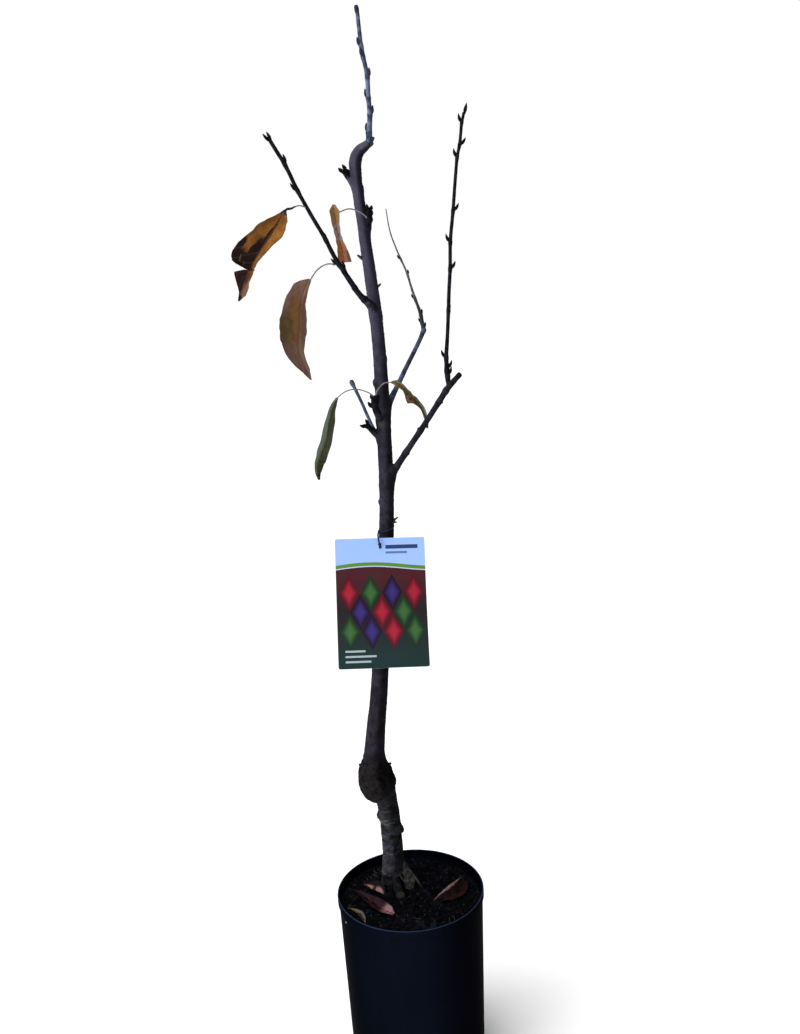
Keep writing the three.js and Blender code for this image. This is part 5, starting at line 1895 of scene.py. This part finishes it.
card_bm = bmesh.new()
bmesh.ops.create_grid(card_bm, x_segments=1, y_segments=1, size=0.5)
size = Matrix.Diagonal((LABEL["width"], LABEL["height"], 1, 1))
drop = Matrix.Translation((0, -LABEL["height"] / 2, 0))
bmesh.ops.transform(card_bm, matrix=drop @ size, verts=card_bm.verts)
bmesh.ops.bevel(
    card_bm, geom=card_bm.verts[:], offset=2.5, offset_type="OFFSET", segments=4, profile=0.5,
    affect="VERTICES", material=-1,
)
for k in range(1, CARD_STRIPS):
    line = (0, -LABEL["height"] * k / CARD_STRIPS, 0)
    parts = card_bm.faces[:] + card_bm.edges[:]
    bmesh.ops.bisect_plane(card_bm, geom=parts, plane_co=line, plane_no=(0, 1, 0))
walls = bmesh.ops.extrude_face_region(card_bm, geom=card_bm.faces[:])
lifted = [g for g in walls["geom"] if isinstance(g, bmesh.types.BMVert)]
bmesh.ops.translate(card_bm, vec=(0, 0, LABEL["thick"]), verts=lifted)
bmesh.ops.translate(card_bm, vec=(0, 0, -LABEL["thick"] / 2), verts=card_bm.verts)
bmesh.ops.recalc_face_normals(card_bm, faces=card_bm.faces)
hole_bm = bmesh.new()
bmesh.ops.create_cone(
    hole_bm, cap_ends=True, segments=28, radius1=LABEL["hole"], radius2=LABEL["hole"], depth=10,
    matrix=Matrix.Translation((0, -LABEL["drop"], 0)),
)
cut_holes(card_bm, hole_bm)
print_uv = card_bm.loops.layers.uv.new("print")
for face in card_bm.faces:
    face.material_index = 0 if face.normal.z > 0.5 else 1
    for loop in face.loops:
        share = 0.5 + loop.vert.co.x / LABEL["width"]
        loop[print_uv].uv = (share, -loop.vert.co.y / LABEL["height"])
for v in card_bm.verts:
    v.co = on_label(v.co.x, -v.co.y, v.co.z) * MM
print("card of", LABEL["width"], "by", LABEL["height"], "mm with", len(card_bm.faces), "faces")

# %% [markdown]
# The print is a plain design of this model's own: a pale heading, a green wave and a dark field of
# diamonds, with bars where words would stand. Each shape is a mask over the card's flat map.

# %% Label print
card_finish = Finish("label_print", 0.4, 0.2)
card_parts = card_finish.split(card_finish.place("UV"))
across, down = card_parts["X"], card_parts["Y"]
card_noise = card_finish.noise(card_finish.place("UV"), 5, 3)
heading = card_finish.ramp(across, [(0, tone(145, 177, 238)), (1, tone(151, 183, 243))])
field = card_finish.ramp(
    down, [(0.3, tone(70, 18, 34)), (0.55, tone(34, 12, 26)), (0.95, tone(18, 40, 44))]
)
field = card_finish.cover(field, tone(30, 58, 40), card_noise, 0.3)


def diamond(base, at_x, at_y, wide, tall, colour, rim):
    """A diamond with a thin rim, printed over the base."""
    dx = card_finish.math("ABSOLUTE", card_finish.math("SUBTRACT", across, at_x))
    dy = card_finish.math("ABSOLUTE", card_finish.math("SUBTRACT", down, at_y))
    flat_far = card_finish.math("DIVIDE", dx, wide)
    far = card_finish.math("ADD", flat_far, card_finish.math("DIVIDE", dy, tall))
    shade = card_finish.mix(card_finish.band(far, 0.95, 0.2), rim, colour)
    return card_finish.mix(card_finish.math("LESS_THAN", far, 1), base, shade)


DIAMONDS = [
    (tone(150, 30, 48), tone(76, 10, 26)), (tone(50, 40, 104), tone(28, 10, 34)),
    (tone(52, 92, 48), tone(20, 42, 26)),
]
for row in range(3):
    for column in range(4 - row % 2):
        at_x = 0.14 + 0.24 * column + 0.12 * (row % 2)
        at_y = 0.42 + 0.15 * row
        field = diamond(field, at_x, at_y, 0.115, 0.14, *DIAMONDS[(row + 2 * column) % 3])


def bar(base, left, right, top_edge, bottom, colour):
    """A bar of print over the base."""
    inside = card_finish.between(across, left, right)
    return card_finish.cover(base, colour, inside, card_finish.between(down, top_edge, bottom))


for k, (left, right) in enumerate(((0.08, 0.3), (0.08, 0.42), (0.08, 0.36))):
    field = bar(field, left, right, 0.86 + 0.04 * k, 0.875 + 0.04 * k, tone(150, 164, 170))
heading = bar(heading, 0.56, 0.92, 0.055, 0.085, tone(44, 60, 104))
heading = bar(heading, 0.56, 0.8, 0.105, 0.122, tone(88, 108, 160))
wave = card_finish.times(card_finish.math("SINE", card_finish.times(across, 4.2)), 0.02)
wave_at = card_finish.math("ADD", down, wave)
# From the heading down: where each stripe of the wave starts and what it shows
card_colour = heading
for edge, below in ((0.205, tone(84, 124, 52)), (0.232, tone(176, 194, 214)), (0.24, field)):
    card_colour = card_finish.mix(card_finish.math("GREATER_THAN", wave_at, edge), card_colour, below)
PRINT = card_finish.colour(card_colour)
CARD_BACK = plain("label_back", tone(196, 198, 204), 0.5, 0.2)
piece(card_bm, "label_card", [PRINT, CARD_BACK], ["label"])

# %% [markdown]
# The wire is a ring round the stem and a loop that runs from it through the card's hole, with a
# twist of coating where its ends meet in front of the card.

# %% Label tie
RING = {"centre": (-4.6, 14.4, 766), "radius": 10.5, "tilt": 18, "wire": 1}


def on_ring(angle):
    turn, tilt = math.radians(angle), math.radians(RING["tilt"])
    right = RING["radius"] * math.cos(turn)
    offset = (right * math.cos(tilt), RING["radius"] * math.sin(turn), right * math.sin(tilt))
    return Vector(RING["centre"]) + Vector(offset)


tie_bm = bmesh.new()
grain_layer(tie_bm)
bmesh.ops.create_circle(
    tie_bm, segments=10, radius=RING["wire"] * MM,
    matrix=Matrix.Translation((RING["radius"] * MM, 0, 0)) @ Matrix.Rotation(math.pi / 2, 4, "X"),
)
spin_round(tie_bm, 48)
ring_turn = Matrix.Rotation(-math.radians(RING["tilt"]), 4, "Y")
ring_place = Matrix.Translation(Vector(RING["centre"]) * MM) @ ring_turn
bmesh.ops.transform(tie_bm, matrix=ring_place, verts=tie_bm.verts)
for face in tie_bm.faces:
    face.smooth = True
route = [
    on_ring(222), on_label(-2.2, -4, 4), on_label(-1.6, 3, 3.6), on_label(-0.4, 9, 3.4),
    on_label(0, 11.2, 1), on_label(0, 10.8, -2.2), on_label(0.4, 5, -3.6), on_label(1.4, -2, -3),
    on_ring(240),
]
limb(tie_bm, [[*point, 2 * RING["wire"]] for point in route], 10, 110)
knot = [
    (on_label(-0.8, 6.5, 3.5), 2), (on_label(-0.5, 7.5, 3.5), 3.7), (on_label(-0.4, 8.6, 3.5), 4.2),
    (on_label(-0.3, 9.6, 3.5), 3.6), (on_label(-0.2, 10.4, 3.5), 2),
]
limb(tie_bm, [[*point, wide] for point, wide in knot], 14, 14)
TIE = plain("tie_wire", tone(9, 30, 52), 0.5, 0.12)
piece(tie_bm, "label_wire", [TIE], ["label_tie"])

# %% [markdown]
# ## Done
# The view layer is brought up to date once more.

# %% Finish
bpy.context.view_layer.update()
